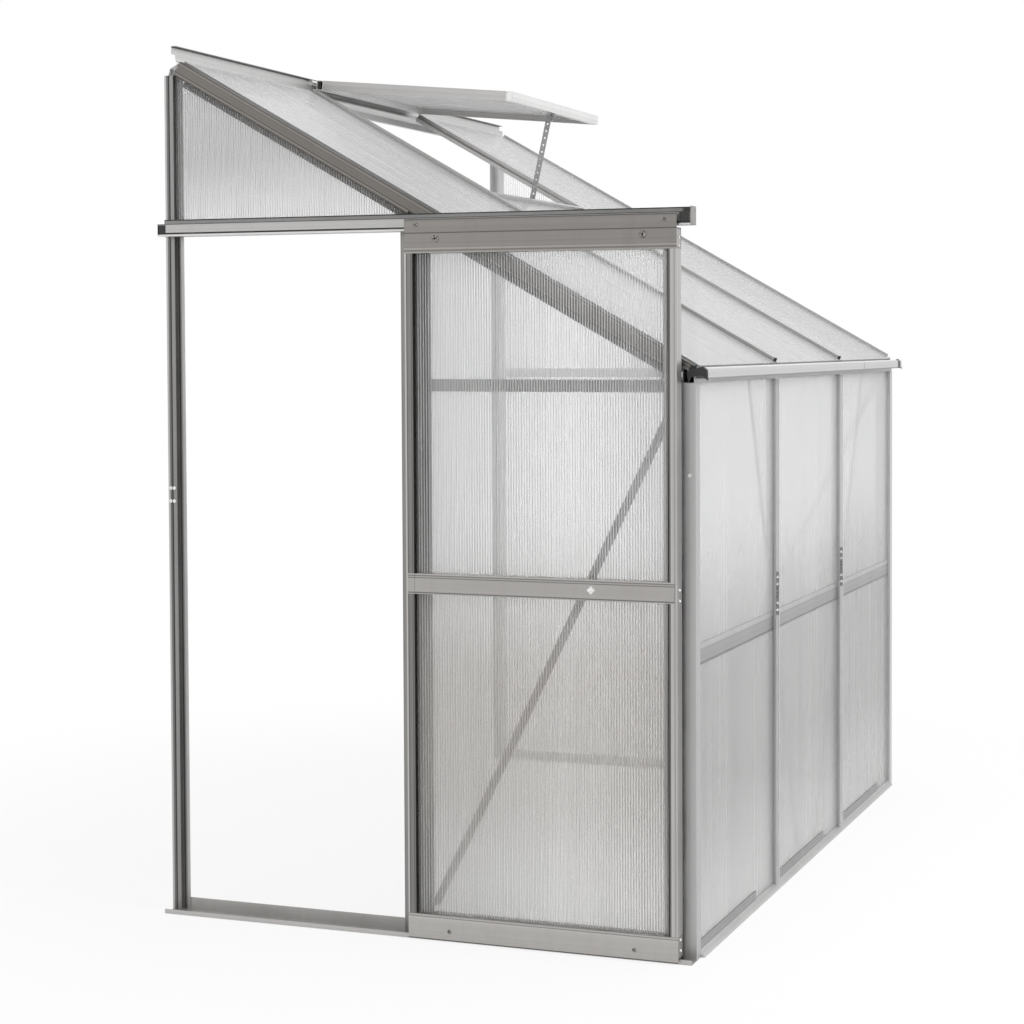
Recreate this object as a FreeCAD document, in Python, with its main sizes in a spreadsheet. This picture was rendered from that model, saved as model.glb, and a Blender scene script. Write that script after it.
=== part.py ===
import FreeCAD, Part
import math
import os
import Sketcher

# Lean-to greenhouse of thin extrusions and twin-wall sheets, in millimetres.
# All places are given from the house wall (x = 0), the door gable (y = 0) and the ground (z = 0).
# The whole object is then moved so that the middle of its footprint is the origin.

SIZES = {
    # Plan, height and roof
    "gable_bay": 617.5,
    "side_bay": 623.3,
    "roof_pitch": 29.43,
    "roof_start_x": 30.0,
    "eave_line": 1220.0,
    # Sheets and metal
    "skin": 1.6,
    "sheet": 4.0,
    "sheet_gap": 0.5,
    "seat_gap": 0.3,
    "tube": 28.0,
    "flange": 18.0,
    "jamb_flange": 8.0,
    "flange_back": 12.0,
    "rib_half": 5.0,
    "cap_half": 9.0,
    "base_half": 20.0,
    "rib_high": 12.0,
    "keel_half": 8.0,
    "keel_deep": 11.0,
    "keel_lip": 4.0,
    # Sills
    "threshold_out": 34.0,
    "threshold_lip": 10.0,
    "upstand_y": 14.0,
    "upstand_high": 28.0,
    "side_sill_high": 12.0,
    "side_sill_out": 8.0,
    "side_sill_edge": 3.0,
    "side_sill_top_in": 6.0,
    "anchor_inset_x": 120.0,
    "anchor_inset_y": 22.0,
    "anchor_hole": 3.5,
    # Wall posts
    "wall_post_wide": 22.0,
    "wall_flange": 30.0,
    "wall_post_flange": 16.0,
    "wall_post_joint": 936.0,
    "wall_fix_y": 23.0,
    "wall_fix_low": 300.0,
    "wall_fix_high": 1500.0,
    # Wall beam
    "beam_drop": 33.0,
    "shoulder_rise": 25.0,
    "beam_rise": 32.0,
    "beam_skin": 1.8,
    "hook_x": 18.0,
    "hook_reach": 30.0,
    "shelf_rise": 16.0,
    "beam_toe": 12.0,
    "beam_knee_x": 16.0,
    "knee_drop": 19.0,
    "beam_lip_x": 37.0,
    "lip_drop": 9.0,
    "throat_rise": 2.0,
    "beam_fix_drop": 10.0,
    "beam_side_gap": 1.0,
    "beam_fix_inset": 320.0,
    "beam_cut": 60.0,
    # Rafters and roof sheets
    "rafter_start": 10.7,
    "rafter_set_back": 10.0,
    "roof_sheet_start": 4.0,
    "sheet_set_back": 1.3,
    "end_cap": 5.0,
    "end_tube_top": 1.7,
    "end_tube_deep": 24.3,
    "end_lip": 7.0,
    "end_seat": 21.7,
    "triangle_tip": 6.0,
    # Eave beam and gutter
    "eave_drop": 32.0,
    "eave_step": 2.0,
    "gutter_drop": 23.0,
    "gutter_back_drop": 8.0,
    "gutter_front_drop": 3.0,
    "gutter_reach": 27.0,
    "gutter_curl_x": 20.0,
    "gutter_curl_rise": 1.0,
    "gutter_joint": 1401.0,
    "gutter_cap": 5.0,
    "cap_skirt_in": 18.0,
    "cap_skirt_drop": 7.0,
    "cap_peak_x": 17.0,
    "cap_peak_rise": 3.0,
    "cap_corner_drop": 6.0,
    "cap_foot_drop": 26.0,
    "cap_notch_out": 19.0,
    "cap_notch_in": 8.0,
    "cap_notch_drop": 17.0,
    "cap_inner_drop": 31.0,
    "cap_inner_x": 14.0,
    # Gable bars, braces and gussets
    "head_high": 38.0,
    "head_deep": 12.0,
    "jamb_lip": 28.5,
    "eave_bar_drop": 51.0,
    "eave_bar_high": 26.0,
    "eave_bar_deep": 12.0,
    "brace_wide": 20.0,
    "brace_low": 62.0,
    "side_brace_low_y": 900.0,
    "side_brace_high_y": 470.0,
    "rear_brace_low_y": 1060.0,
    "rear_brace_high_y": 1590.0,
    "gusset_run": 86.0,
    "gusset_drop": 60.0,
    "gusset_rise": 48.0,
    "gusset_wide": 40.0,
    # Side wall strips
    "joint_strip_low": 605.0,
    "joint_strip_high": 44.0,
    "bottom_strip_start": 35.0,
    "bottom_strip_long": 425.0,
    "bottom_strip_high": 20.0,
    "strip_thick": 3.0,
    # Splices and bolts
    "plate_long": 100.0,
    "plate_thick": 1.6,
    "bolt_hole": 2.8,
    "bolt_shank": 2.5,
    "bolt_head": 4.0,
    "bolt_head_high": 2.0,
    "splice_bolt_rise": 14.5,
    "splice_bolt_in": 6.5,
    "side_splice_z": 690.0,
    "side_bolt_rise": 30.0,
    # Door and its rail
    "rail_front": 34.0,
    "rail_back": 4.0,
    "rail_high": 27.0,
    "slot_front": 24.0,
    "slot_back": 14.0,
    "rail_end_plate": 2.5,
    "door_left": 604.0,
    "door_wide": 605.0,
    "door_front": 44.0,
    "door_back": 14.0,
    "stile_wide": 20.0,
    "stile_flange": 12.0,
    "door_sheet_front": 35.0,
    "bottom_rail_low": 14.0,
    "bottom_rail_top": 58.0,
    "skirt_low": 4.0,
    "guide_leg": 28.0,
    "mid_rail_low": 741.0,
    "mid_rail_top": 784.0,
    "header_high": 43.0,
    "header_clear": 5.0,
    "header_plate_rise": 24.0,
    "hanger_inset": 72.0,
    "hanger_half": 15.0,
    "hanger_thick": 3.0,
    "hanger_rise": 19.0,
    "roller": 9.0,
    "roller_wide": 6.0,
    "axle": 3.0,
    "axle_fit": 0.05,
    "screw_head": 7.5,
    "screw_head_high": 3.0,
    "small_screw": 4.7,
    "small_screw_inset": 27.0,
    "small_screw_rise": 12.0,
    "large_screw_drop": 18.0,
    "door_bolt": 4.5,
    "bottom_bolt_inset": 95.0,
    "bottom_bolt_z": 24.0,
    "middle_bolt_x": 418.0,
    # Roof vent and its stay
    "vent_open": 24.0,
    "bead": 7.0,
    "bead_fit": 0.1,
    "vent_arm": 2.4,
    "vent_rail_start": 18.0,
    "vent_rail_wide": 18.0,
    "vent_long": 549.0,
    "vent_side_wide": 12.0,
    "vent_inset": 14.0,
    "vent_under": 17.0,
    "vent_over": 7.0,
    "cross_bar_tuck": 30.0,
    "cross_bar_wide": 51.0,
    "cross_rib_inset": 36.0,
    "cross_rib_wide": 10.0,
    "stay_y": 940.0,
    "stay_wide": 14.0,
    "stay_thick": 2.0,
    "stay_end": 7.0,
    "stay_corner": 3.5,
    "stay_pivot_back": 23.4,
    "stay_pivot_w": 26.0,
    "stay_hole": 2.5,
    "stay_pin_fit": 0.05,
    "notch_half": 12.0,
    "bracket_thick": 2.0,
    "bracket_half": 8.0,
    "peg_back": 16.5,
    "peg_rise": 1.66,
    "peg_edge": 1.4,
    "peg_top": 4.0,
    "peg_gap": 1.2,
}
STAY_HOLES = 12

doc = FreeCAD.newDocument("LeanToGreenhouse")
sheet = doc.addObject("Spreadsheet::Sheet", "Sizes")
for row, (alias, number) in enumerate(SIZES.items(), start=1):
    sheet.set(f"A{row}", alias)
    sheet.set(f"B{row}", str(number))
    sheet.setAlias(f"B{row}", alias)
doc.recompute()


class Term:
    """A length that knows its value and the formula that keeps it bound to the sheet."""

    def __init__(self, value, text):
        self.value = value
        self.text = text

    def __add__(self, other):
        other = term(other)
        return Term(self.value + other.value, f"({self.text} + {other.text})")

    def __sub__(self, other):
        other = term(other)
        return Term(self.value - other.value, f"({self.text} - {other.text})")

    def __mul__(self, other):
        other = term(other)
        return Term(self.value * other.value, f"({self.text} * {other.text})")

    def __truediv__(self, other):
        other = term(other)
        return Term(self.value / other.value, f"({self.text} / {other.text})")

    def __radd__(self, other):
        return term(other) + self

    def __rsub__(self, other):
        return term(other) - self

    def __rmul__(self, other):
        return term(other) * self

    def __neg__(self):
        return Term(-self.value, f"(0 - {self.text})")


def term(number):
    return number if isinstance(number, Term) else Term(float(number), f"{number:.6g}")


class Sizes:
    """Gives every size of the sheet as a term."""

    def __getattr__(self, alias):
        return Term(SIZES[alias], f"Sizes.{alias}")


d = Sizes()


def turned(function, name, angle):
    return Term(function(math.radians(angle.value)), f"{name}({angle.text})")


def length_of(h, v):
    return Term(math.hypot(h.value, v.value), f"hypot({h.text}; {v.text})")


def lean_of(h, v):
    """The angle, from upright, of the line that runs h across and v up."""
    return Term(math.degrees(math.atan2(h.value, v.value)), f"atan2({h.text}; {v.text})")


roof_cos = turned(math.cos, "cos", d.roof_pitch)
roof_sin = turned(math.sin, "sin", d.roof_pitch)
roof_tan = turned(math.tan, "tan", d.roof_pitch)

# Main lines of the frame
wide = 2 * d.gable_bay
long = 3 * d.side_bay
side_face = wide
wall_x = -(wide + d.gutter_reach) / 2
gable_y = -(long + d.gutter_cap - d.door_front - d.screw_head_high) / 2
half_tube = d.tube / 2


roof_start_z = d.eave_line + (side_face - d.roof_start_x) * roof_tan


def roof_z(x, w):
    """Height of the line parallel to the roof, at distance w from the sheets' underside."""
    return roof_start_z + w / roof_cos - (x - d.roof_start_x) * roof_tan


def roof_run(x, w):
    """Distance down the slope of the point at x on the line at distance w from the sheets."""
    return (x - d.roof_start_x) / roof_cos - w * roof_tan


rafter_end = roof_run(side_face - d.rafter_set_back, 0)
roof_sheet_end = roof_run(side_face - d.sheet_set_back, 0)
cross_bar_start = d.vent_long - d.cross_bar_tuck
cross_bar_end = cross_bar_start + d.cross_bar_wide
cross_rib_start = cross_bar_start + d.cross_rib_inset
cross_rib_end = cross_rib_start + d.cross_rib_wide


def below_roof(x):
    return roof_z(x, -(d.keel_deep + d.seat_gap))


def below_rafter(x):
    return roof_z(x, -(d.end_tube_deep + d.seat_gap))


def below_seat(x):
    return roof_z(x, -(d.end_tube_deep + d.end_seat + d.seat_gap))


# Heights that follow the roof: the wall beam, the eave, and the door's head bar and rail
beam_low = roof_start_z - d.beam_drop
beam_shoulder = roof_start_z + d.shoulder_rise
beam_top = roof_start_z + d.beam_rise
shelf_z = roof_start_z + d.shelf_rise
beam_knee_z = roof_start_z - d.knee_drop
beam_lip_z = roof_start_z - d.lip_drop
beam_throat_z = roof_start_z + d.throat_rise
beam_fix_z = roof_start_z - d.beam_fix_drop
eave_low = d.eave_line - d.eave_drop
eave_bar_low = d.eave_line - d.eave_bar_drop
gutter_low = d.eave_line - d.gutter_drop
jamb_left = d.gable_bay - half_tube
jamb_right = jamb_left + d.tube
corner_left = side_face - d.tube
head_top = below_roof(jamb_right) - d.seat_gap
head_low = head_top - d.head_high
rail_top = head_low + d.rail_high
header_top = head_low - d.header_clear
header_low = header_top - d.header_high
header_plate_top = head_low + d.header_plate_rise
hanger_top = head_low + d.hanger_rise
small_screw_z = head_low + d.small_screw_rise
large_screw_z = head_low - d.large_screw_drop


# Tools for profiles


def box(h0, v0, h1, v1):
    return [(h0, v0), (h1, v0), (h1, v1), (h0, v1)]


def hollow(h0, v0, h1, v1, skin=None):
    skin = skin or d.skin
    return [box(h0, v0, h1, v1), box(h0 + skin, v0 + skin, h1 - skin, v1 - skin)]


def strip(points, skin=None, side=1):
    """Outline of a bent strip; the metal lies on the left of the path, or on the right for side -1."""
    skin = skin or d.skin
    points = [(term(h), term(v)) for h, v in points]
    normals = []
    for (h0, v0), (h1, v1) in zip(points, points[1:]):
        dh = h1.value - h0.value
        dv = v1.value - v0.value
        run = math.hypot(dh, dv)
        normals.append((-dv / run * side, dh / run * side))
    inner = []
    for index, (h, v) in enumerate(points):
        before = normals[max(index - 1, 0)]
        after = normals[min(index, len(normals) - 1)]
        share = 1 + before[0] * after[0] + before[1] * after[1]
        shift_h = (before[0] + after[0]) / share
        shift_v = (before[1] + after[1]) / share
        inner.append((h + skin * shift_h, v + skin * shift_v))
    return points + inner[::-1]


def mirrored(loops, line):
    """The same loops on the other side of the vertical line at h = line / 2."""
    return [[(line - h, v) for h, v in loop] for loop in loops]


PLANES = {"X": ("YZ_Plane", 1), "Y": ("XZ_Plane", -1), "Z": ("XY_Plane", 1)}


def sketch_on(body, name, along, loops, start):
    role, sign = PLANES[along]
    plane = [item for item in body.Origin.OriginFeatures if item.Role == role][0]
    sketch = body.newObject("Sketcher::SketchObject", name)
    sketch.AttachmentSupport = (plane, "")
    sketch.MapMode = "FlatFace"
    bound = []
    for loop in loops:
        if isinstance(loop, tuple):
            h, v, radius = (term(part) for part in loop)
            centre = FreeCAD.Vector(h.value, v.value, 0)
            circle = sketch.addGeometry(Part.Circle(centre, FreeCAD.Vector(0, 0, 1), radius.value), False)
            bound.append((Sketcher.Constraint("DistanceX", -1, 1, circle, 3, h.value), h))
            bound.append((Sketcher.Constraint("DistanceY", -1, 1, circle, 3, v.value), v))
            bound.append((Sketcher.Constraint("Radius", circle, radius.value), radius))
            continue
        corners = [(term(h), term(v)) for h, v in loop]
        spots = [FreeCAD.Vector(h.value, v.value, 0) for h, v in corners]
        first = sketch.GeometryCount
        count = len(corners)
        for index in range(count):
            sketch.addGeometry(Part.LineSegment(spots[index], spots[(index + 1) % count]), False)
        for index, (h, v) in enumerate(corners):
            edge = first + index
            following = first + (index + 1) % count
            sketch.addConstraint(Sketcher.Constraint("Coincident", edge, 2, following, 1))
            bound.append((Sketcher.Constraint("DistanceX", -1, 1, edge, 1, h.value), h))
            bound.append((Sketcher.Constraint("DistanceY", -1, 1, edge, 1, v.value), v))
    for constraint, value in bound:
        place = sketch.addConstraint(constraint)
        sketch.setExpression(f"Constraints[{place}]", value.text)
    start = term(start)
    sketch.AttachmentOffset.Base.z = sign * start.value
    sketch.setExpression("AttachmentOffset.Base.z", (sign * start).text)
    return sketch


def extrude(name, along, runs, at=(0, 0, 0), angle=None, drill=()):
    """One piece: each run is (loops, start, length) along the axis, each drill has its own axis first."""
    body = doc.addObject("PartDesign::Body", name)
    body.Label = name
    place(body, at, angle)
    for number, (loops, start, length) in enumerate(runs, start=1):
        sketch = sketch_on(body, f"{name}_profile_{number}", along, loops, start)
        pad = body.newObject("PartDesign::Pad", f"{name}_run_{number}")
        pad.Profile = sketch
        pad.Reversed = along == "Y"
        length = term(length)
        pad.Length = length.value
        pad.setExpression("Length", length.text)
        sketch.Visibility = False
    for number, (axis, loops, start, depth) in enumerate(drill, start=1):
        sketch = sketch_on(body, f"{name}_hole_sketch_{number}", axis, loops, start)
        pocket = body.newObject("PartDesign::Pocket", f"{name}_holes_{number}")
        pocket.Profile = sketch
        pocket.Reversed = axis != "Y"  # every hole is cut towards the positive end of its axis
        depth = term(depth)
        pocket.Length = depth.value
        pocket.setExpression("Length", depth.text)
        sketch.Visibility = False
    return body


def place(item, at, angle=None):
    x, y, z = (term(part) for part in at)
    spot = (wall_x + x, gable_y + y, z)
    turn = FreeCAD.Rotation()
    if angle is not None:
        angle = term(angle)
        turn = FreeCAD.Rotation(FreeCAD.Vector(0, 1, 0), angle.value)
    item.Placement = FreeCAD.Placement(FreeCAD.Vector(*(part.value for part in spot)), turn)
    for axis, part in zip("xyz", spot):
        item.setExpression(f"Placement.Base.{axis}", part.text)
    if angle is not None:
        item.setExpression("Placement.Rotation.Angle", angle.text)


AXIS_TURNS = {
    "X": FreeCAD.Rotation(FreeCAD.Vector(0, 1, 0), 90),
    "Y": FreeCAD.Rotation(FreeCAD.Vector(1, 0, 0), -90),
    "Z": FreeCAD.Rotation(),
}


def rod(name, axis, at, radius, length):
    """A plain cylinder from a point along an axis."""
    item = doc.addObject("Part::Cylinder", name)
    item.Placement.Rotation = AXIS_TURNS[axis]
    x, y, z = (term(part) for part in at)
    for letter, part in zip("xyz", (wall_x + x, gable_y + y, z)):
        item.setExpression(f"Placement.Base.{letter}", part.text)
    item.setExpression("Radius", term(radius).text)
    item.setExpression("Height", term(length).text)
    item.Visibility = False
    return item


def bolt(name, axis, at, head, head_high, shank, grip, sign=1):
    """A head on a face and a shank through it; sign gives the side on which the head stands."""
    spot = dict(zip("XYZ", (term(part) for part in at)))
    outer = dict(spot)
    inner = dict(spot)
    if sign < 0:
        outer[axis] = spot[axis] - head_high
    else:
        inner[axis] = spot[axis] - grip
    cap = rod(f"{name}_head", axis, outer.values(), head, head_high)
    stem = rod(f"{name}_shank", axis, inner.values(), shank, grip)
    joined = doc.addObject("Part::Fuse", name)
    joined.Base = cap
    joined.Tool = stem
    joined.Visibility = False
    return joined


def group(name, members):
    joined = doc.addObject("Part::Compound", name)
    joined.Label = name
    joined.Links = members
    pieces[name] = joined
    return joined


pieces = {}


def keep(name, *args, **kwargs):
    pieces[name] = extrude(name, *args, **kwargs)
    return pieces[name]


# Base: two gable sills, which carry the posts, and the sloping sill of the side wall

ANCHORS = (d.anchor_inset_x, wide - d.anchor_inset_x)


def gable_sill(name, outer, inner, upstand, anchor_y, edges):
    plate = [box(outer, 0, inner, d.skin)]
    back = [box(upstand, 0, upstand + d.skin, d.upstand_high)]
    holes = [(x, anchor_y, d.anchor_hole) for x in ANCHORS]
    runs = [
        (plate, 0, wide),
        (back, d.wall_post_wide, jamb_left - d.wall_post_wide),
        (back, jamb_right, corner_left - jamb_right),
    ]
    runs += [(edge, 0, wide) for edge in edges]
    keep(name, "X", runs, drill=[("Z", holes, 0, d.skin)])


threshold_edge = [box(-d.threshold_out, 0, -d.threshold_out + d.skin, d.threshold_lip)]
gable_sill("door_end_sill", -d.threshold_out, d.tube, d.upstand_y, d.anchor_inset_y, [threshold_edge])
far_upstand = long - d.upstand_y - d.skin
gable_sill("far_end_sill", long - d.tube, long, far_upstand, long - d.anchor_inset_y, [])

sill_in = corner_left
sill_top = side_face - d.side_sill_top_in
side_sill = [
    (sill_in, 0),
    (side_face + d.side_sill_out, 0),
    (side_face + d.side_sill_out, d.side_sill_edge),
    (sill_top, d.side_sill_high),
    (sill_in, d.side_sill_high),
]
side_sill_hole = [
    (sill_in + d.skin, d.skin),
    (side_face, d.skin),
    (sill_top - d.skin, d.side_sill_high - d.skin),
    (sill_in + d.skin, d.side_sill_high - d.skin),
]
keep("low_side_sill", "Y", [([side_sill, side_sill_hole], d.tube, long - 2 * d.tube)])

# Wall posts in two lengths, with holes for the house wall and for the joint bolts


def wall_post(name, low, high, far, fix_z, bolt_z):
    path = [
        (0, d.wall_flange),
        (0, 0),
        (d.wall_post_wide, 0),
        (d.wall_post_wide, d.flange_back),
        (d.wall_post_wide + d.wall_post_flange, d.flange_back),
    ]
    face = term(0)
    fix_y = d.wall_fix_y
    if far:
        path = [(h, long - v) for h, v in path]
        face = long - d.skin
        fix_y = long - d.wall_fix_y
    outline = strip(path, side=-1 if far else 1)
    bolts = [
        (d.splice_bolt_in, bolt_z, d.bolt_hole),
        (d.wall_post_wide - d.splice_bolt_in, bolt_z, d.bolt_hole),
    ]
    keep(
        name,
        "Z",
        [([outline], low, high - low)],
        drill=[("X", [(fix_y, fix_z, d.anchor_hole)], 0, d.skin), ("Y", bolts, face, d.skin)],
    )


joint_low = d.wall_post_joint - d.splice_bolt_rise
joint_high = d.wall_post_joint + d.splice_bolt_rise
for end, far in (("door_end", False), ("far_end", True)):
    wall_post(f"wall_post_{end}_lower", d.skin, d.wall_post_joint, far, d.wall_fix_low, joint_low)
    wall_post(f"wall_post_{end}_upper", d.wall_post_joint, beam_low, far, d.wall_fix_high, joint_high)

# Corner posts, door jamb post and middle post of the far gable: square tubes with glazing flanges


def post(name, left, far, top, flanges):
    """A square tube and its flanges, each given with its own lower and upper end."""
    runs = [(hollow(left, 0, left + d.tube, d.tube), d.skin, top)]
    runs += [([loop], low, high) for loop, low, high in flanges]
    if far:
        runs = [([[(h, long - v) for h, v in loop] for loop in run], low, high) for run, low, high in runs]
    keep(name, "Z", [(run, low, high - low) for run, low, high in runs])


back_face = d.flange_back + d.skin
corner_flanges = [
    (box(corner_left - d.flange, d.flange_back, corner_left, back_face), d.skin, eave_low),
    (
        box(side_face - back_face, d.tube, side_face - d.flange_back, d.tube + d.flange),
        d.side_sill_high,
        eave_low,
    ),
]
post("corner_post_door_end", corner_left, False, eave_low, corner_flanges)
post("corner_post_far_end", corner_left, True, eave_low, corner_flanges)

middle_top = below_rafter(jamb_right)


def right_flange(flange):
    end = jamb_right + flange
    return (box(jamb_right, d.flange_back, end, back_face), d.skin, below_seat(end))


left_flange = (box(jamb_left - d.flange, d.flange_back, jamb_left, back_face), d.skin, below_seat(jamb_left))
jamb_lip = (box(jamb_left - d.jamb_lip, 0, jamb_left, d.skin), d.skin, head_low)
post("door_jamb_post", jamb_left, False, middle_top, [right_flange(d.jamb_flange), jamb_lip])
post("far_end_middle_post", jamb_left, True, middle_top, [right_flange(d.flange), left_flange])

# Glazing bars: a flange behind the sheets, a capped rib between them and a bolt channel inside


def bar_runs():
    """Profile of a glazing bar around h = 0; v points outwards from the back of the sheets."""
    base = box(-d.base_half, -d.skin, d.base_half, 0)
    rib = hollow(-d.rib_half, 0, d.rib_half, d.rib_high)
    cap = box(-d.cap_half, d.rib_high - d.skin, d.cap_half, d.rib_high)
    keel = strip(
        [
            (-d.keel_half + d.keel_lip, -d.keel_deep),
            (-d.keel_half, -d.keel_deep),
            (-d.keel_half, -d.skin),
        ],
        side=-1,
    )
    other = [(-h, v) for h, v in keel]
    return [[base], rib, [cap], [keel], [other]]


pane_back = side_face - d.flange_back
for number in (1, 2):
    runs = [[[(pane_back + v, h) for h, v in loop] for loop in run] for run in bar_runs()]
    keep(
        f"side_bar_{number}",
        "Z",
        [(run, d.side_sill_high, eave_low - d.side_sill_high) for run in runs],
        at=(0, number * d.side_bay, 0),
        drill=[
            (
                "X",
                [
                    (0, d.side_splice_z - d.side_bolt_rise, d.bolt_hole),
                    (0, d.side_splice_z + d.side_bolt_rise, d.bolt_hole),
                ],
                side_face - d.skin,
                d.skin,
            )
        ],
    )

ROOF = (d.roof_start_x, 0, roof_start_z)
rafter_long = rafter_end - d.rafter_start
for number in (1, 2):
    keep(
        f"rafter_{number}",
        "X",
        [(run, d.rafter_start, rafter_long) for run in bar_runs()],
        at=(d.roof_start_x, number * d.side_bay, roof_start_z),
        angle=d.roof_pitch,
    )
# End rafters: a deep tube as far as the eave beam, a shallow toe over it, a seat for the roof
# sheet, an outer lip and a flange that hold the gable sheets, left out where the posts stand
tube_low = -d.end_tube_deep
lip_low = tube_low - d.end_lip
flange_low = tube_low - d.end_seat
foot = roof_run(corner_left - d.seat_gap, -d.keel_deep)
lip_stop_x = d.roof_start_x + (roof_start_z + lip_low / roof_cos - head_top - d.seat_gap) / roof_tan
lip_stop = roof_run(lip_stop_x, lip_low)
lip_again = roof_run(jamb_right + d.seat_gap, lip_low)
post_flange = d.wall_post_wide + d.wall_post_flange
flange_start = roof_run(post_flange + d.seat_gap, flange_low)
flange_stop = roof_run(jamb_left - d.seat_gap, tube_low)
flange_again = roof_run(jamb_right + d.seat_gap, flange_low)
flange_end = roof_run(corner_left - d.flange - d.seat_gap, tube_low)
rafter_seat = [box(d.tube, -d.skin, d.tube + d.flange, 0)]
rafter_lip = [box(0, lip_low, d.skin, tube_low)]
rafter_flange = [box(d.flange_back, flange_low, back_face, tube_low)]
end_rafter = [
    (hollow(0, tube_low, d.tube, d.end_tube_top), d.rafter_start, foot),
    (hollow(0, -d.keel_deep, d.tube, d.end_tube_top), foot, rafter_end),
    (rafter_seat, d.rafter_start, rafter_end),
    (rafter_lip, d.rafter_start, lip_stop),
    (rafter_lip, lip_again, foot),
    (rafter_flange, flange_start, flange_stop),
    (rafter_flange, flange_again, flange_end),
]
keep(
    "rafter_door_end",
    "X",
    [(run, start, stop - start) for run, start, stop in end_rafter],
    at=ROOF,
    angle=d.roof_pitch,
)
keep(
    "rafter_far_end",
    "X",
    [(mirrored(run, long), start, stop - start) for run, start, stop in end_rafter],
    at=ROOF,
    angle=d.roof_pitch,
)

# Beam on the house wall, with the hooked groove for the vent along its top

groove_wall = d.hook_x + d.beam_skin
beam_back = [
    (d.beam_toe, beam_low),
    (0, beam_low),
    (0, beam_shoulder),
    (groove_wall, beam_shoulder),
]
beam_hook = [
    (d.hook_x, beam_shoulder - d.beam_skin),
    (d.hook_x, beam_top),
    (d.hook_reach, beam_top),
]
beam_front = [
    (groove_wall, beam_shoulder),
    (groove_wall, shelf_z),
    (d.hook_reach, shelf_z),
    (d.hook_reach, beam_throat_z),
    (d.beam_lip_x, beam_lip_z),
    (d.beam_knee_x, beam_knee_z),
    (d.beam_toe, beam_low),
]
beam_fixings = [
    (d.beam_fix_inset, beam_fix_z, d.anchor_hole),
    (long - d.beam_fix_inset, beam_fix_z, d.anchor_hole),
]
keep(
    "ridge_beam",
    "Y",
    [
        ([strip(beam_back, d.beam_skin, side=-1)], d.beam_cut, long - 2 * d.beam_cut),
        ([strip(beam_hook, d.beam_skin, side=-1)], 0, long),
        ([strip(beam_front, d.beam_skin, side=-1)], 0, long),
    ],
    drill=[("X", beam_fixings, 0, d.beam_skin)],
)

# Eave beam along the top of the side wall, gutter in two lengths and its end caps

eave_out = side_face - d.eave_step
eave_in = side_face - d.tube
eave_beam = [
    (eave_in, eave_low),
    (eave_out, eave_low),
    (eave_out, roof_z(eave_out, -d.keel_deep)),
    (eave_in, roof_z(eave_in, -d.keel_deep)),
]
inside_w = -(d.keel_deep + d.skin)
eave_hole = [
    (eave_in + d.skin, eave_low + d.skin),
    (eave_out - d.skin, eave_low + d.skin),
    (eave_out - d.skin, roof_z(eave_out - d.skin, inside_w)),
    (eave_in + d.skin, roof_z(eave_in + d.skin, inside_w)),
]
keep("eave_beam", "Y", [([eave_beam, eave_hole], 0, long)])

gutter = strip(
    [
        (eave_out, d.eave_line - d.gutter_back_drop),
        (eave_out, gutter_low),
        (side_face + d.gutter_reach, gutter_low),
        (side_face + d.gutter_reach, d.eave_line - d.gutter_front_drop),
        (side_face + d.gutter_curl_x, d.eave_line + d.gutter_curl_rise),
    ]
)
gutters = [
    extrude("gutter_length_1", "Y", [([gutter], 0, d.gutter_joint)]),
    extrude("gutter_length_2", "Y", [([gutter], d.gutter_joint, long - d.gutter_joint)]),
]
group("gutter", gutters)

cap_notch_z = d.eave_line - d.cap_notch_drop
cap_outline = [
    (side_face - d.cap_skirt_in, d.eave_line - d.cap_skirt_drop),
    (side_face + d.cap_peak_x, d.eave_line + d.cap_peak_rise),
    (side_face + d.gutter_reach - d.eave_step, d.eave_line - d.cap_corner_drop),
    (side_face + d.gutter_reach, d.eave_line - d.cap_foot_drop),
    (side_face + d.cap_notch_out, cap_notch_z - d.eave_step),
    ((side_face + (d.cap_notch_out + d.cap_notch_in - d.eave_step) / 2), cap_notch_z),
    (side_face - d.cap_notch_in, cap_notch_z - d.eave_step),
    (side_face - d.cap_inner_x, d.eave_line - d.cap_inner_drop),
]
caps = [
    extrude(f"gutter_cap_{number}", "Y", [([cap_outline], start, d.gutter_cap)])
    for number, start in ((1, -d.gutter_cap), (2, long))
]
group("gutter_end_caps", caps)

rafter_caps = []
for number, (low, high, top) in enumerate(
    (
        (0, d.tube, d.end_tube_top),
        (d.side_bay - d.rib_half, d.side_bay + d.rib_half, d.rib_high),
        (2 * d.side_bay - d.rib_half, 2 * d.side_bay + d.rib_half, d.rib_high),
        (long - d.tube, long, d.end_tube_top),
    ),
    start=1,
):
    cap = [([box(low, -d.keel_deep, high, top)], rafter_end, d.end_cap)]
    rafter_caps.append(extrude(f"rafter_cap_{number}", "X", cap, at=ROOF, angle=d.roof_pitch))
group("rafter_end_caps", rafter_caps)

# Bars across the gables, flat braces and gussets

head_bar = hollow(0, head_low, d.head_deep, head_top)
keep("door_head_bar", "X", [(head_bar, d.wall_post_wide, jamb_left - d.wall_post_wide)])

eave_bar = hollow(
    back_face, eave_bar_low, back_face + d.eave_bar_deep, eave_bar_low + d.eave_bar_high
)
keep("door_end_eave_bar", "X", [(eave_bar, jamb_right, corner_left - jamb_right)])
far_bar = mirrored(eave_bar, long)
far_bars = [
    extrude("far_bar_1", "X", [(far_bar, d.wall_post_wide, jamb_left - d.wall_post_wide)]),
    extrude("far_bar_2", "X", [(far_bar, jamb_right, corner_left - jamb_right)]),
]
group("far_end_eave_bar", far_bars)

half_brace = d.brace_wide / 2


def brace(low_h, low_v, high_h, high_v):
    return [
        (low_h - half_brace, low_v),
        (low_h + half_brace, low_v),
        (high_h + half_brace, high_v),
        (high_h - half_brace, high_v),
    ]


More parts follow.
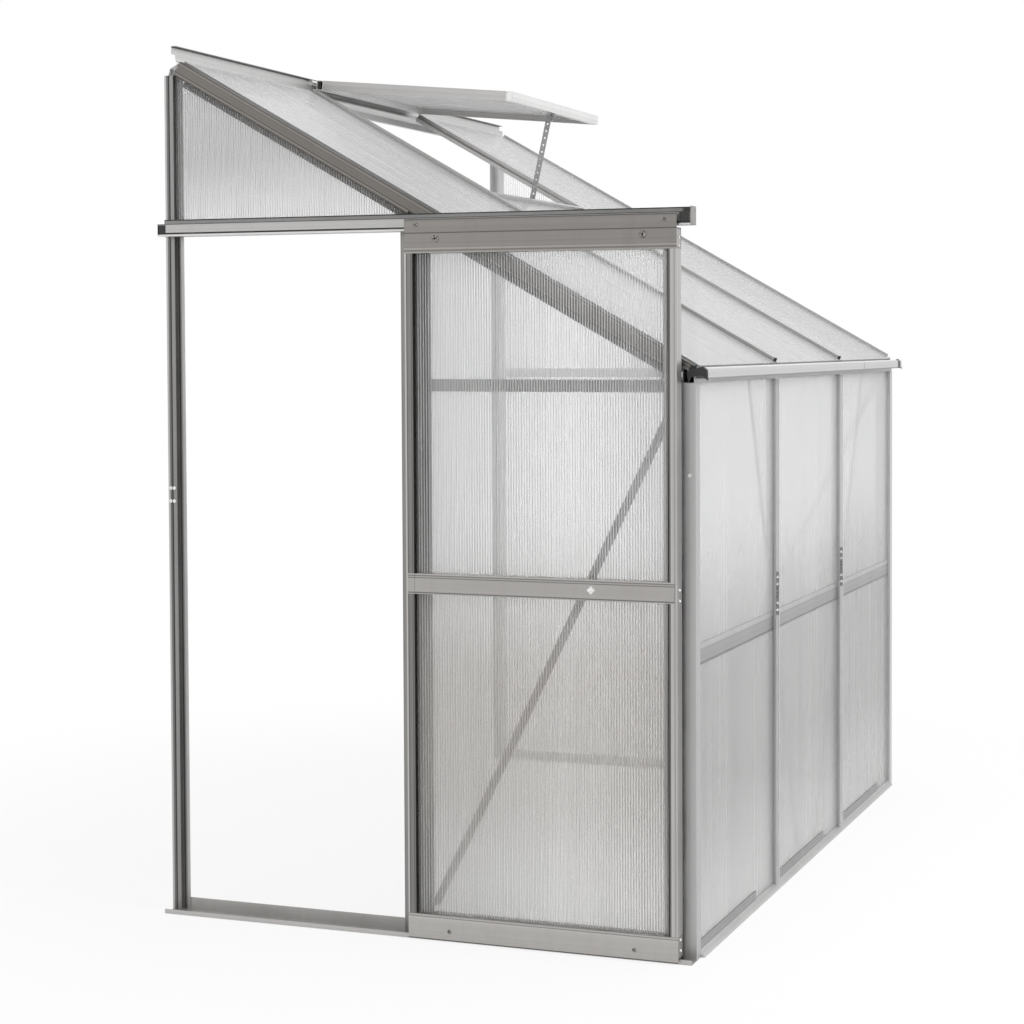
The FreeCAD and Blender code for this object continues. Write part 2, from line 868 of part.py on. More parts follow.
gable_brace = brace(
    jamb_right + half_brace,
    d.brace_low,
    corner_left - half_brace,
    eave_bar_low,
)
gable_braces = [
    extrude("gable_brace_1", "Y", [([gable_brace], back_face, d.skin)]),
    extrude("gable_brace_2", "Y", [([gable_brace], long - back_face - d.skin, d.skin)]),
]
group("gable_braces", gable_braces)
brace_x = pane_back - d.keel_deep - d.skin
side_braces = [
    extrude(f"side_brace_{number}", "X", [([brace(low, d.side_sill_high, high, eave_low)], brace_x, d.skin)])
    for number, low, high in (
        (1, d.side_brace_low_y, d.side_brace_high_y),
        (2, d.rear_brace_low_y, d.rear_brace_high_y),
    )
]
group("side_braces", side_braces)

gusset = [
    (corner_left - d.gusset_run, eave_bar_low + d.gusset_rise + d.eave_bar_high),
    (corner_left - d.gusset_wide, eave_bar_low),
    (corner_left, eave_bar_low - d.gusset_drop),
    (corner_left, eave_bar_low + d.eave_bar_high),
]
gusset_back = back_face + d.eave_bar_deep
plates = [
    extrude("gusset_1", "Y", [([gusset], gusset_back, d.plate_thick)]),
    extrude("gusset_2", "Y", [([gusset], long - gusset_back - d.plate_thick, d.plate_thick)]),
]
splice = box(
    2 * d.skin,
    d.wall_post_joint - d.plate_long / 2,
    d.wall_post_wide - 2 * d.skin,
    d.wall_post_joint + d.plate_long / 2,
)
splice_holes = [
    (x, z, d.bolt_hole)
    for x in (d.splice_bolt_in, d.wall_post_wide - d.splice_bolt_in)
    for z in (joint_low, joint_high)
]
plates.append(extrude("splice_1", "Y", [([splice] + splice_holes, d.skin, d.plate_thick)]))
plates.append(
    extrude("splice_2", "Y", [([splice] + splice_holes, long - d.skin - d.plate_thick, d.plate_thick)])
)
group("joining_plates", plates)

# Bolts of the frame

bolts = []
for end, face, sign in (("front", term(0), -1), ("rear", long, 1)):
    for column, x in enumerate((d.splice_bolt_in, d.wall_post_wide - d.splice_bolt_in), start=1):
        for line, z in enumerate((joint_low, joint_high), start=1):
            bolts.append(
                bolt(
                    f"splice_bolt_{end}_{column}_{line}",
                    "Y",
                    (x, face, z),
                    d.bolt_head,
                    d.bolt_head_high,
                    d.bolt_shank,
                    d.skin + d.plate_thick,
                    sign,
                )
            )
for number in (1, 2):
    for line, z in enumerate(
        (d.side_splice_z - d.side_bolt_rise, d.side_splice_z + d.side_bolt_rise), start=1
    ):
        bolts.append(
            bolt(
                f"side_bolt_{number}_{line}",
                "X",
                (side_face, number * d.side_bay, z),
                d.bolt_head,
                d.bolt_head_high,
                d.bolt_shank,
                d.skin,
            )
        )
group("frame_bolts", bolts)

# Sheets of the gables and the side wall

front_back = d.flange_back - d.sheet
triangle_left = d.wall_post_wide + d.beam_side_gap
triangle_right = jamb_left - d.triangle_tip
triangle_low = head_top + d.sheet_gap
triangle = [
    (triangle_left, triangle_low),
    (triangle_right, triangle_low),
    (triangle_right, below_rafter(triangle_right)),
    (triangle_left, below_rafter(triangle_left)),
]
keep("gable_sheet_triangle", "Y", [([triangle], front_back, d.sheet)])

fixed_left = jamb_right + d.sheet_gap
fixed_right = corner_left - d.sheet_gap
sheet_low = d.skin + d.seat_gap


def lower_sheet(left, right, top):
    return box(left, sheet_low, right, top)


def upper_sheet(left, right, low):
    return [(left, low), (right, low), (right, below_rafter(right)), (left, below_rafter(left))]


bar_line = eave_bar_low + d.eave_bar_high / 2
keep("gable_sheet_fixed", "Y", [([upper_sheet(fixed_left, fixed_right, sheet_low)], front_back, d.sheet)])
far_start = long - d.flange_back
wall_left = d.wall_post_wide + d.sheet_gap
wall_right = jamb_left - d.sheet_gap
wall_upper = upper_sheet(wall_left, wall_right, bar_line)
far_lower = [
    extrude("far_sheet_1", "Y", [([lower_sheet(wall_left, wall_right, bar_line)], far_start, d.sheet)]),
    extrude("far_sheet_2", "Y", [([lower_sheet(fixed_left, fixed_right, bar_line)], far_start, d.sheet)]),
]
group("far_sheets_lower", far_lower)
far_upper = [
    extrude("far_sheet_3", "Y", [([wall_upper], far_start, d.sheet)]),
    extrude("far_sheet_4", "Y", [([upper_sheet(fixed_left, fixed_right, bar_line)], far_start, d.sheet)]),
]
group("far_sheets_upper", far_upper)

BAYS = (
    (d.tube, d.side_bay - d.rib_half),
    (d.side_bay + d.rib_half, 2 * d.side_bay - d.rib_half),
    (2 * d.side_bay + d.rib_half, long - d.tube),
)
joint_mid = d.joint_strip_low + d.joint_strip_high / 2
strip_web = d.skin / 2
for layer, low, high in (
    ("lower", d.side_sill_high, joint_mid - strip_web),
    ("upper", joint_mid + strip_web, eave_low),
):
    panes = []
    for number, (near, distant) in enumerate(BAYS, start=1):
        outline = box(near + d.sheet_gap, low, distant - d.sheet_gap, high)
        panes.append(extrude(f"side_sheet_{layer}_{number}", "X", [([outline], pane_back, d.sheet)]))
    group(f"side_sheets_{layer}", panes)

# Joint strips between the lower and upper side sheets: two lips with a web between them
strips = []
sheet_front = pane_back + d.sheet
joint_strip_top = d.joint_strip_low + d.joint_strip_high
for number, (near, distant) in enumerate(BAYS, start=1):
    front_lip = box(sheet_front, d.joint_strip_low, sheet_front + d.skin, joint_strip_top)
    web = box(pane_back, joint_mid - strip_web, sheet_front, joint_mid + strip_web)
    start = near + d.sheet_gap
    reach = distant - near - 2 * d.sheet_gap
    run = [([front_lip], start, reach), ([web], start, reach)]
    strips.append(extrude(f"joint_strip_{number}", "Y", run))
group("side_joint_strips", strips)

bottom_strips = []
for number, (near, distant) in enumerate(BAYS, start=1):
    lip = box(
        sheet_front,
        d.side_sill_high,
        sheet_front + d.strip_thick,
        d.side_sill_high + d.bottom_strip_high,
    )
    start = (number - 1) * d.side_bay + d.bottom_strip_start
    bottom_strips.append(extrude(f"bottom_strip_{number}", "Y", [([lip], start, d.bottom_strip_long)]))
group("bottom_glazing_strips", bottom_strips)

# Roof sheets

roof_sheets = []
for number, ((near, distant), start) in enumerate(
    (
        (BAYS[0], d.roof_sheet_start),
        (BAYS[1], cross_rib_end + d.sheet_gap),
        (BAYS[2], d.roof_sheet_start),
    ),
    start=1,
):
    outline = box(near + d.sheet_gap, 0, distant - d.sheet_gap, d.sheet)
    run = ([outline], start, roof_sheet_end - start)
    roof_sheets.append(extrude(f"roof_sheet_{number}", "X", [run], at=ROOF, angle=d.roof_pitch))
pieces["roof_sheet_below_vent"] = roof_sheets[1]
roof_sheets[1].Label = "roof_sheet_below_vent"
group("roof_sheets_end_bays", [roof_sheets[0], roof_sheets[2]])

# Cross bar below the vent, notched where the stay passes, with the bracket that the stay stands on

cross_near = d.side_bay + d.cap_half
cross_long = d.side_bay - 2 * d.cap_half
under_near = d.side_bay + d.base_half
under_long = d.side_bay - 2 * d.base_half
cross_plate = [box(cross_bar_start, 0, cross_bar_end, d.skin)]
cross_rib = hollow(cross_rib_start, 0, cross_rib_end, d.rib_high)
cross_keel = [box(cross_rib_start, -d.keel_deep, cross_rib_start + d.skin, d.skin)]
plate_drop = [[(h, v - d.skin) for h, v in loop] for loop in cross_plate]
notch = box(
    cross_bar_start - d.skin,
    d.stay_y - d.notch_half,
    cross_rib_start - d.skin,
    d.stay_y + d.notch_half,
)
keep(
    "vent_cross_bar",
    "Y",
    [
        (plate_drop, under_near, under_long),
        (cross_rib, cross_near, cross_long),
        (cross_keel, under_near, under_long),
    ],
    at=ROOF,
    angle=d.roof_pitch,
    drill=[("Z", [notch], -d.skin, d.skin)],
)

# Door rail along the gable, closed at its outer end

rail_front = strip(
    [
        (-d.slot_front, head_low),
        (-d.rail_front, head_low),
        (-d.rail_front, rail_top),
        (-d.rail_back, rail_top),
    ],
    side=-1,
)
rail_back = strip(
    [
        (-d.slot_back, head_low),
        (-d.rail_back, head_low),
        (-d.rail_back, head_top),
    ]
)
rail_foot = [box(-d.rail_back, head_low, 0, head_low + d.skin)]
keep("door_rail", "X", [([rail_front], 0, wide), ([rail_back], 0, wide), (rail_foot, 0, wide)])
end_plate = [box(-d.rail_front, head_low, -d.rail_back + d.skin, head_top)]
keep("door_rail_end_plate", "X", [(end_plate, wide, d.rail_end_plate)])

# Sliding door, shown fully open over the fixed bay

door_right = d.door_left + d.door_wide
stile_high = header_low - d.bottom_rail_top
sheet_back = -d.door_sheet_front + d.sheet
for name, left, flange_left in (
    ("door_stile_left", d.door_left, d.door_left + d.stile_wide),
    ("door_stile_right", door_right - d.stile_wide, door_right - d.stile_wide - d.stile_flange),
):
    tube = hollow(left, -d.door_front, left + d.stile_wide, -d.door_back)
    lip = [box(flange_left, sheet_back, flange_left + d.stile_flange, sheet_back + d.skin)]
    keep(
        name,
        "Z",
        [
            (tube, d.bottom_rail_top, stile_high),
            (lip, d.bottom_rail_top, d.mid_rail_low - d.bottom_rail_top),
            (lip, d.mid_rail_top, header_low - d.mid_rail_top),
        ],
    )

hanger_left = d.door_left + d.hanger_inset
hanger_right = door_right - d.hanger_inset
small_left = d.door_left + d.small_screw_inset
small_right = door_right - d.small_screw_inset
header_plate = [box(-d.door_front, header_low, -d.door_front + d.skin, header_plate_top)]
keep(
    "door_header",
    "X",
    [
        (hollow(-d.door_front, header_low, -d.door_back, header_top), d.door_left, d.door_wide),
        (header_plate, d.door_left, d.door_wide),
    ],
    drill=[
        (
            "Y",
            [
                (hanger_left, large_screw_z, d.bolt_hole),
                (hanger_right, large_screw_z, d.bolt_hole),
                (small_left, small_screw_z, d.bolt_hole),
                (small_right, small_screw_z, d.bolt_hole),
            ],
            -d.door_front,
            d.skin,
        )
    ],
)
inner_left = d.door_left + d.stile_wide
inner_wide = d.door_wide - 2 * d.stile_wide
keep(
    "door_mid_rail",
    "X",
    [(hollow(-d.door_front, d.mid_rail_low, -d.door_back, d.mid_rail_top), inner_left, inner_wide)],
)
bottom_tube = hollow(-d.door_front, d.bottom_rail_low, -d.door_back, d.bottom_rail_top)
keep(
    "door_bottom_rail",
    "X",
    [
        (bottom_tube, d.door_left, d.door_wide),
        (
            [box(-d.door_front, d.skirt_low, -d.door_front + d.skin, d.bottom_rail_low + d.skin)],
            d.door_left,
            d.door_wide,
        ),
        (
            [box(-d.guide_leg, d.skirt_low, -d.guide_leg + d.skin, d.bottom_rail_low + d.skin)],
            d.door_left,
            d.door_wide,
        ),
    ],
)
for name, low, high in (
    ("door_sheet_lower", d.bottom_rail_top, d.mid_rail_low),
    ("door_sheet_upper", d.mid_rail_top, header_low),
):
    outline = box(inner_left + d.sheet_gap, low, inner_left + inner_wide - d.sheet_gap, high)
    keep(name, "Y", [([outline], -d.door_sheet_front, d.sheet)])

# Hangers, and the double rollers that run inside the rail

rail_mid = -(d.slot_front + d.slot_back) / 2
axle_z = head_low + d.skin + d.roller + d.seat_gap
hangers = []
for number, x in ((1, hanger_left), (2, hanger_right)):
    plate = box(x - d.hanger_half, header_top, x + d.hanger_half, hanger_top)
    bearing = (x, axle_z, d.axle + d.axle_fit)
    start = rail_mid - d.hanger_thick / 2
    hangers.append(extrude(f"hanger_{number}", "Y", [([plate, bearing], start, d.hanger_thick)]))
group("door_hangers", hangers)

wheel_out = d.rail_front - d.skin - d.seat_gap
wheel_far = d.rail_back + d.skin + d.seat_gap
for name, x in (("door_roller_left", hanger_left), ("door_roller_right", hanger_right)):
    parts = [
        rod(f"{name}_outer", "Y", (x, -wheel_out, axle_z), d.roller, d.roller_wide),
        rod(f"{name}_inner", "Y", (x, -wheel_far - d.roller_wide, axle_z), d.roller, d.roller_wide),
        rod(f"{name}_axle", "Y", (x, -wheel_out, axle_z), d.axle, wheel_out - wheel_far),
    ]
    roller = doc.addObject("Part::MultiFuse", name)
    roller.Label = name
    roller.Shapes = parts
    pieces[name] = roller

screws = []
front = -d.door_front
for number, (x, z, head) in enumerate(
    (
        (hanger_left, large_screw_z, d.screw_head),
        (hanger_right, large_screw_z, d.screw_head),
        (small_left, small_screw_z, d.small_screw),
        (small_right, small_screw_z, d.small_screw),
    ),
    start=1,
):
    screws.append(
        bolt(f"door_screw_{number}", "Y", (x, front, z), head, d.screw_head_high, d.bolt_shank, d.skin, -1)
    )
for number, (x, z) in enumerate(
    (
        (d.door_left + d.bottom_bolt_inset, d.bottom_bolt_z),
        (door_right - d.bottom_bolt_inset, d.bottom_bolt_z),
        (d.door_left + d.middle_bolt_x, (d.mid_rail_low + d.mid_rail_top) / 2),
    ),
    start=1,
):
    at = (x, front - d.bolt_head_high, z)
    screws.append(rod(f"door_bolt_{number}", "Y", at, d.door_bolt, d.bolt_head_high))
group("door_screws", screws)

# Roof vent: a bead on its top rail turns in the groove of the wall beam

vent_angle = d.roof_pitch - d.vent_open
hinge_x = groove_wall + d.bead + d.bead_fit
hinge_z = shelf_z + d.bead + d.bead_fit
HINGE = (hinge_x, 0, hinge_z)
vent_near = d.side_bay + d.vent_inset
vent_wide = d.side_bay - 2 * d.vent_inset
half_arm = d.vent_arm / 2
rail_end = d.vent_rail_start + d.vent_rail_wide
keep(
    "vent_top_rail",
    "Y",
    [
        ([(term(0), term(0), d.bead)], vent_near, vent_wide),
        ([box(0, -half_arm, d.vent_rail_start + d.skin, half_arm)], vent_near, vent_wide),
        (hollow(d.vent_rail_start, -d.vent_under, rail_end, d.vent_over), vent_near, vent_wide),
    ],
    at=HINGE,
    angle=vent_angle,
)
bottom_start = d.vent_long - d.vent_rail_wide
keep(
    "vent_bottom_rail",
    "Y",
    [(hollow(bottom_start, -d.vent_under, d.vent_long, d.vent_over), vent_near, vent_wide)],
    at=HINGE,
    angle=vent_angle,
)
side_rails = []
vent_distant = vent_near + vent_wide
for number, near in ((1, vent_near), (2, vent_distant - d.vent_side_wide)):
    tube = hollow(near, -d.vent_under, near + d.vent_side_wide, d.vent_over)
    run = [(tube, rail_end, bottom_start - rail_end)]
    side_rails.append(extrude(f"vent_side_{number}", "X", run, at=HINGE, angle=vent_angle))
group("vent_side_rails", side_rails)
half_sheet = d.sheet / 2
vent_sheet = box(
    vent_near + d.vent_side_wide + d.sheet_gap,
    -half_sheet,
    vent_distant - d.vent_side_wide - d.sheet_gap,
    half_sheet,
)
keep("vent_sheet", "X", [([vent_sheet], rail_end, bottom_start - rail_end)], at=HINGE, angle=vent_angle)

# Bracket with the pivot pin under the vent, and the perforated stay that hangs from it

stay_pivot_u = d.vent_long - d.stay_pivot_back
half_stay = d.stay_thick / 2
bracket_near = half_stay + d.seat_gap
bracket = box(
    stay_pivot_u - d.bracket_half,
    -d.stay_pivot_w - d.bracket_half,
    bottom_start + d.bracket_half,
    -d.vent_under,
)
keep(
    "stay_bracket",
    "Y",
    [
        ([bracket], d.stay_y + bracket_near, d.bracket_thick),
        (
            [(stay_pivot_u, -d.stay_pivot_w, d.stay_hole - d.stay_pin_fit)],
            d.stay_y - half_stay - d.seat_gap,
            d.stay_thick + 2 * d.seat_gap + d.bracket_thick,
        ),
    ],
    at=HINGE,
    angle=vent_angle,
)
vent_cos = turned(math.cos, "cos", vent_angle)
vent_sin = turned(math.sin, "sin", vent_angle)
pivot_x = hinge_x + stay_pivot_u * vent_cos - d.stay_pivot_w * vent_sin
pivot_z = hinge_z - stay_pivot_u * vent_sin - d.stay_pivot_w * vent_cos
peg_u = cross_rib_start - d.peg_back
peg_x = d.roof_start_x + peg_u * roof_cos + d.peg_rise * roof_sin
peg_z = roof_start_z - peg_u * roof_sin + d.peg_rise * roof_cos
stay_long = length_of(pivot_x - peg_x, pivot_z - peg_z)
stay_lean = lean_of(pivot_x - peg_x, pivot_z - peg_z)
stay_pitch = stay_long / STAY_HOLES
half_wide = d.stay_wide / 2
stay_foot = -stay_long - d.stay_end
stay_outline = [
    (-half_wide, stay_foot + d.stay_corner),
    (-half_wide + d.stay_corner, stay_foot),
    (half_wide - d.stay_corner, stay_foot),
    (half_wide, stay_foot + d.stay_corner),
    (half_wide, d.stay_end - d.stay_corner),
    (half_wide - d.stay_corner, d.stay_end),
    (-half_wide + d.stay_corner, d.stay_end),
    (-half_wide, d.stay_end - d.stay_corner),
]
holes = [(term(0), term(0), d.stay_hole)]
holes += [(term(0), -(number * stay_pitch), d.stay_hole) for number in range(1, STAY_HOLES + 1)]
keep(
    "stay_bar",
    "Y",
    [([stay_outline] + holes, -half_stay, d.stay_thick)],
    at=(pivot_x, d.stay_y, pivot_z),
    angle=stay_lean,
)

# Peg on the cross bar that holds the lower end of the stay

peg_plate = box(peg_u - d.peg_edge, 0, cross_rib_start, d.peg_rise + d.peg_top)
keep(
    "stay_peg",
    "Y",
    [
        ([peg_plate], d.stay_y + d.notch_half, d.bracket_thick),
        (
            [(peg_u, d.peg_rise, d.stay_hole - d.peg_gap)],
            d.stay_y + half_stay + d.seat_gap,
            d.notch_half - half_stay - d.seat_gap + d.bracket_thick,
        ),
    ],
    at=ROOF,
    angle=d.roof_pitch,
)

# Check every object, then write one file for each piece

doc.recompute()
for item in doc.Objects:
    if "Invalid" in item.State or "Error" in item.State:
        raise RuntimeError(f"{item.Name} did not build: {item.State}")
os.makedirs("parts", exist_ok=True)
for name, item in pieces.items():
    if item.Shape.isNull() or not item.Shape.isValid():
        raise RuntimeError(f"{name} has no valid shape")
    item.Shape.exportStep(f"parts/{name}.step")
print(len(pieces), "pieces written")
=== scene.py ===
# %% [markdown]
# # A lean-to greenhouse in aluminium and twin-wall sheet
#
# The frame, the sheets, the door and the vent come in as finished solids. This lesson
# gives them their finishes, adds what is too fine for the solids, and sets up a plain
# studio. Everything is in metres, +Z is up, and the house wall is on the -X side.

# %% Load the frame
import bpy
import bmesh
import math
from mathutils import Matrix, Vector


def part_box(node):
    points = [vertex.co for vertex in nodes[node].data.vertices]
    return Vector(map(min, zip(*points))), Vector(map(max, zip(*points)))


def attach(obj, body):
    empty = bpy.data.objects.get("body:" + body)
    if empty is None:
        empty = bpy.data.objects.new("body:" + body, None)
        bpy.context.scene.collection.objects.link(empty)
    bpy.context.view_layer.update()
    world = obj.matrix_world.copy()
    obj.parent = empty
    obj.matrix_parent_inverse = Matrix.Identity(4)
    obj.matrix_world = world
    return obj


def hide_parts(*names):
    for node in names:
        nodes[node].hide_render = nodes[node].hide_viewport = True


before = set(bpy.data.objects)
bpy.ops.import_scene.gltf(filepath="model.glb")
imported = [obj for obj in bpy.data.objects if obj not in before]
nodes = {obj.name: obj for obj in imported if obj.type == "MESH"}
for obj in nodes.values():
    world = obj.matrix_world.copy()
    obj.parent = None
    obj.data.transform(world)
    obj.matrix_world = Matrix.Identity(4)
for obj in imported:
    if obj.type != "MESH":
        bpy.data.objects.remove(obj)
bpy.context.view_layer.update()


# %% [markdown]
# ## Measuring in the carpenter's way
#
# The real thing is set out in millimetres from the house wall, the outer face of the
# door gable and the ground. One small helper turns such a place into Blender metres, so
# each number below can be checked with a tape measure.

# %% A tape measure
MM = 0.001
WALL_X = -631.0
GABLE_Y = -913.95
PITCH = math.radians(29.43)


def at(x, y, z):
    """A place in millimetres from the wall, the door gable and the ground."""
    return Vector(((x + WALL_X) * MM, (y + GABLE_Y) * MM, z * MM))


ROOF_START = at(30, 0, 1899.81)
TO_ROOF = Matrix.Translation(ROOF_START) @ Matrix.Rotation(PITCH, 4, "Y")
print("the roof plane starts at", [round(v, 3) for v in ROOF_START])


# %% [markdown]
# ## Camera
#
# The picture was taken from a few steps in front of the door gable and to its right, a
# little above door-handle height, with a long lens: the uprights stay nearly parallel. The
# lens is shifted, as on a view camera, so that the frame of the picture falls where it
# should without tilting.

# %% Camera
CAMERA_PLACE = at(2537, -4123.1, 1271.3)
HEADING, TILT, ROLL = (math.radians(degrees) for degrees in (19.556, 87.952, -0.184))
eye = bpy.data.cameras.new("camera")
eye.lens = 74.61
eye.sensor_width = 36.0
eye.shift_x = -0.106
eye.shift_y = -0.0911
eye.clip_end = 60.0
camera = bpy.data.objects.new("camera", eye)
bpy.context.scene.collection.objects.link(camera)
aim = (Matrix.Rotation(HEADING, 4, "Z") @ Matrix.Rotation(TILT, 4, "X")
       @ Matrix.Rotation(ROLL, 4, "Z"))
camera.matrix_world = Matrix.Translation(CAMERA_PLACE) @ aim
bpy.context.scene.camera = camera
print("camera at", [round(v, 3) for v in camera.location])


# %% [markdown]
# ## Small helpers for node trees
#
# A material is a tree of nodes. Building one by hand takes three moves over and over:
# add a node, set its sockets, join two sockets. Naming these moves keeps each finish
# below short enough to read in one go.

# %% Node helpers
def add(tree, kind, settings=None, **sockets):
    """Adds a node, sets its options and its sockets by name or number."""
    node = tree.nodes.new(kind)
    for name, value in (settings or {}).items():
        setattr(node, name, value)
    for name, value in sockets.items():
        key = int(name[1:]) if name[0] == "_" else name.replace("_", " ")
        if isinstance(value, bpy.types.NodeSocket):
            tree.links.new(value, node.inputs[key])
        else:
            node.inputs[key].default_value = value
    return node


def sums(tree, operation, first, second=0.0, third=0.0):
    """One arithmetic node; returns its result socket. Only MULTIPLY_ADD reads the third."""
    return add(tree, "ShaderNodeMath", {"operation": operation}, _0=first, _1=second,
               _2=third).outputs[0]


def span(tree, value, low, high, to_low=0.0, to_high=1.0):
    """Maps a range of a value to another range, with clamped ends."""
    node = add(tree, "ShaderNodeMapRange", {"interpolation_type": "SMOOTHSTEP"},
               Value=value, From_Min=low, From_Max=high, To_Min=to_low, To_Max=to_high)
    return node.outputs["Result"]


def blend_colour(tree, factor, first, second):
    """Mixes two colours; either may be a socket or a colour."""
    return add(tree, "ShaderNodeMix", {"data_type": "RGBA"}, _0=factor, _6=first,
               _7=second).outputs[2]


# %% [markdown]
# ## Empty groups and empty materials
#
# A node group is a small tree with named sockets of its own: it is built once and then
# placed in many materials, like a rubber stamp. A material starts as an empty tree with
# one Principled shader on its output. Most colours here are greys, a little warm or cool,
# so a grey has its own helper too.

# %% Helpers for groups and materials
def new_group(name, inputs, outputs):
    """An empty node group with named sockets; returns its tree, inlet and outlet."""
    tree = bpy.data.node_groups.new(name, "ShaderNodeTree")
    for label, value in inputs.items():
        vector = value is None
        kind = "NodeSocketVector" if vector else "NodeSocketFloat"
        socket = tree.interface.new_socket(label, in_out="INPUT", socket_type=kind)
        if not vector:
            socket.default_value = value
    for label in outputs:
        tree.interface.new_socket(label, in_out="OUTPUT", socket_type="NodeSocketFloat")
    return tree, tree.nodes.new("NodeGroupInput"), tree.nodes.new("NodeGroupOutput")


def use_group(tree, group, **sockets):
    """Places a node group in a material."""
    return add(tree, "ShaderNodeGroup", {"node_tree": group}, **sockets)


def new_material(name):
    """A material with an empty tree and a Principled shader on its output."""
    material = bpy.data.materials.new(name)
    material.use_nodes = True
    tree = material.node_tree
    tree.nodes.clear()
    output = tree.nodes.new("ShaderNodeOutputMaterial")
    shader = tree.nodes.new("ShaderNodeBsdfPrincipled")
    tree.links.new(shader.outputs[0], output.inputs["Surface"])
    return material, tree, shader


def grey(value, warmth=0.0):
    """A colour near grey; warmth moves it from blue to red."""
    return (value * (1 + warmth), value, value * (1 - warmth), 1.0)


print("a warm grey:", [round(channel, 3) for channel in grey(0.5, 0.04)])


# %% [markdown]
# ## Studio
#
# The object stands in a plain white surround. What the camera sees of it is set to white
# by the Light Path node, so the background stays white without any more light on the
# object. Metal and sheet see the same white, and matt surfaces get a calmer level.

# %% World
DIFFUSE_LEVEL = 0.62
CLEAR_LAYERS = 40


def seen_or_mirrored(tree):
    """One for what the camera, a sheen or a clear pane sees, nought for matt surfaces."""
    path = tree.nodes.new("ShaderNodeLightPath")
    seen = sums(tree, "MAXIMUM", path.outputs["Is Camera Ray"], path.outputs["Is Glossy Ray"])
    return sums(tree, "MAXIMUM", seen, path.outputs["Is Transmission Ray"])


world = bpy.data.worlds.new("plain_studio")
bpy.context.scene.world = world
world.use_nodes = True
sky = world.node_tree
sky.nodes.clear()
level = sums(sky, "MULTIPLY_ADD", seen_or_mirrored(sky), 1.0 - DIFFUSE_LEVEL,
             DIFFUSE_LEVEL)
backdrop = add(sky, "ShaderNodeBackground", Color=(1.0, 1.0, 1.0, 1.0), Strength=level)
outlet = sky.nodes.new("ShaderNodeOutputWorld")
sky.links.new(backdrop.outputs[0], outlet.inputs["Surface"])
bpy.context.scene.view_settings.view_transform = "Standard"
bpy.context.scene.cycles.transparent_max_bounces = CLEAR_LAYERS
print("world level for matt surfaces:", DIFFUSE_LEVEL)


# %% [markdown]
# ## Floor
#
# The floor is one wide sheet of matt paper, a hair below the object. Close by it takes the
# soft shadow. Further out it blends into plain white, measured from the middle of the
# object, so that no horizon shows behind the glass.

# %% Floor
FLOOR_HALF = 9.0
FLOOR_DROP = 0.0008
PAPER_NEAR, PAPER_FAR = 1.2, 2.6
NEAR_WHITE = 0.86
bm = bmesh.new()
bmesh.ops.create_grid(bm, x_segments=2, y_segments=2, size=FLOOR_HALF)
bmesh.ops.translate(bm, verts=bm.verts, vec=(0.0, 0.0, -FLOOR_DROP))
floor_mesh = bpy.data.meshes.new("floor")
bm.to_mesh(floor_mesh)
bm.free()
floor = bpy.data.objects.new("floor", floor_mesh)
bpy.context.scene.collection.objects.link(floor)

floor_material = bpy.data.materials.new("studio_floor")
floor_material.use_nodes = True
tree = floor_material.node_tree
tree.nodes.clear()
place = tree.nodes.new("ShaderNodeTexCoord")
reach = add(tree, "ShaderNodeVectorMath", {"operation": "LENGTH"},
            _0=place.outputs["Object"]).outputs["Value"]
whiter = span(tree, reach, PAPER_NEAR, PAPER_FAR, NEAR_WHITE, 1.0)
white_share = sums(tree, "MULTIPLY", seen_or_mirrored(tree), whiter)
paper = add(tree, "ShaderNodeBsdfDiffuse", Color=(0.88, 0.88, 0.88, 1.0))
glow = add(tree, "ShaderNodeEmission", Color=(1.0, 1.0, 1.0, 1.0), Strength=1.0)
both = add(tree, "ShaderNodeMixShader", _0=white_share, _1=paper.outputs[0],
           _2=glow.outputs[0])
end = tree.nodes.new("ShaderNodeOutputMaterial")
tree.links.new(both.outputs[0], end.inputs["Surface"])
floor_mesh.materials.append(floor_material)
print("floor", FLOOR_HALF * 2, "m square")


# %% [markdown]
# ## Lamps
#
# Three large, weak panels: one high on the right, which lights the side wall, one in
# front on the left, and one over the roof. Large panels give the soft edges of the
# shadows and the broad sheen on the aluminium.

# %% Lamps
def panel(name, place, aim, size, power):
    """A square area lamp that faces a point."""
    lamp = bpy.data.lights.new(name, "AREA")
    lamp.shape = "SQUARE"
    lamp.size = size
    lamp.energy = power
    holder = bpy.data.objects.new(name, lamp)
    bpy.context.scene.collection.objects.link(holder)
    facing = (Vector(aim) - Vector(place)).to_track_quat("-Z", "Y").to_matrix().to_4x4()
    holder.matrix_world = Matrix.Translation(place) @ facing


panel("lamp_side", (4.6, -1.2, 3.4), (0.0, 0.0, 0.8), 3.0, 150.0)
panel("lamp_front", (-2.6, -4.6, 2.6), (0.0, 0.0, 0.9), 2.4, 8.0)
panel("lamp_top", (0.4, 0.4, 5.2), (0.0, 0.0, 0.0), 3.0, 80.0)


# %% [markdown]
# ## Pressed-out aluminium: the lines of the die
#
# Each bar of the frame was pushed through a steel die, which leaves faint lines that run
# the whole length of the bar, in bands a few millimetres wide. Noise that is squeezed
# across the bar and stretched along it gives just that. The group takes a place whose X
# runs along the bar, so one group serves every direction.

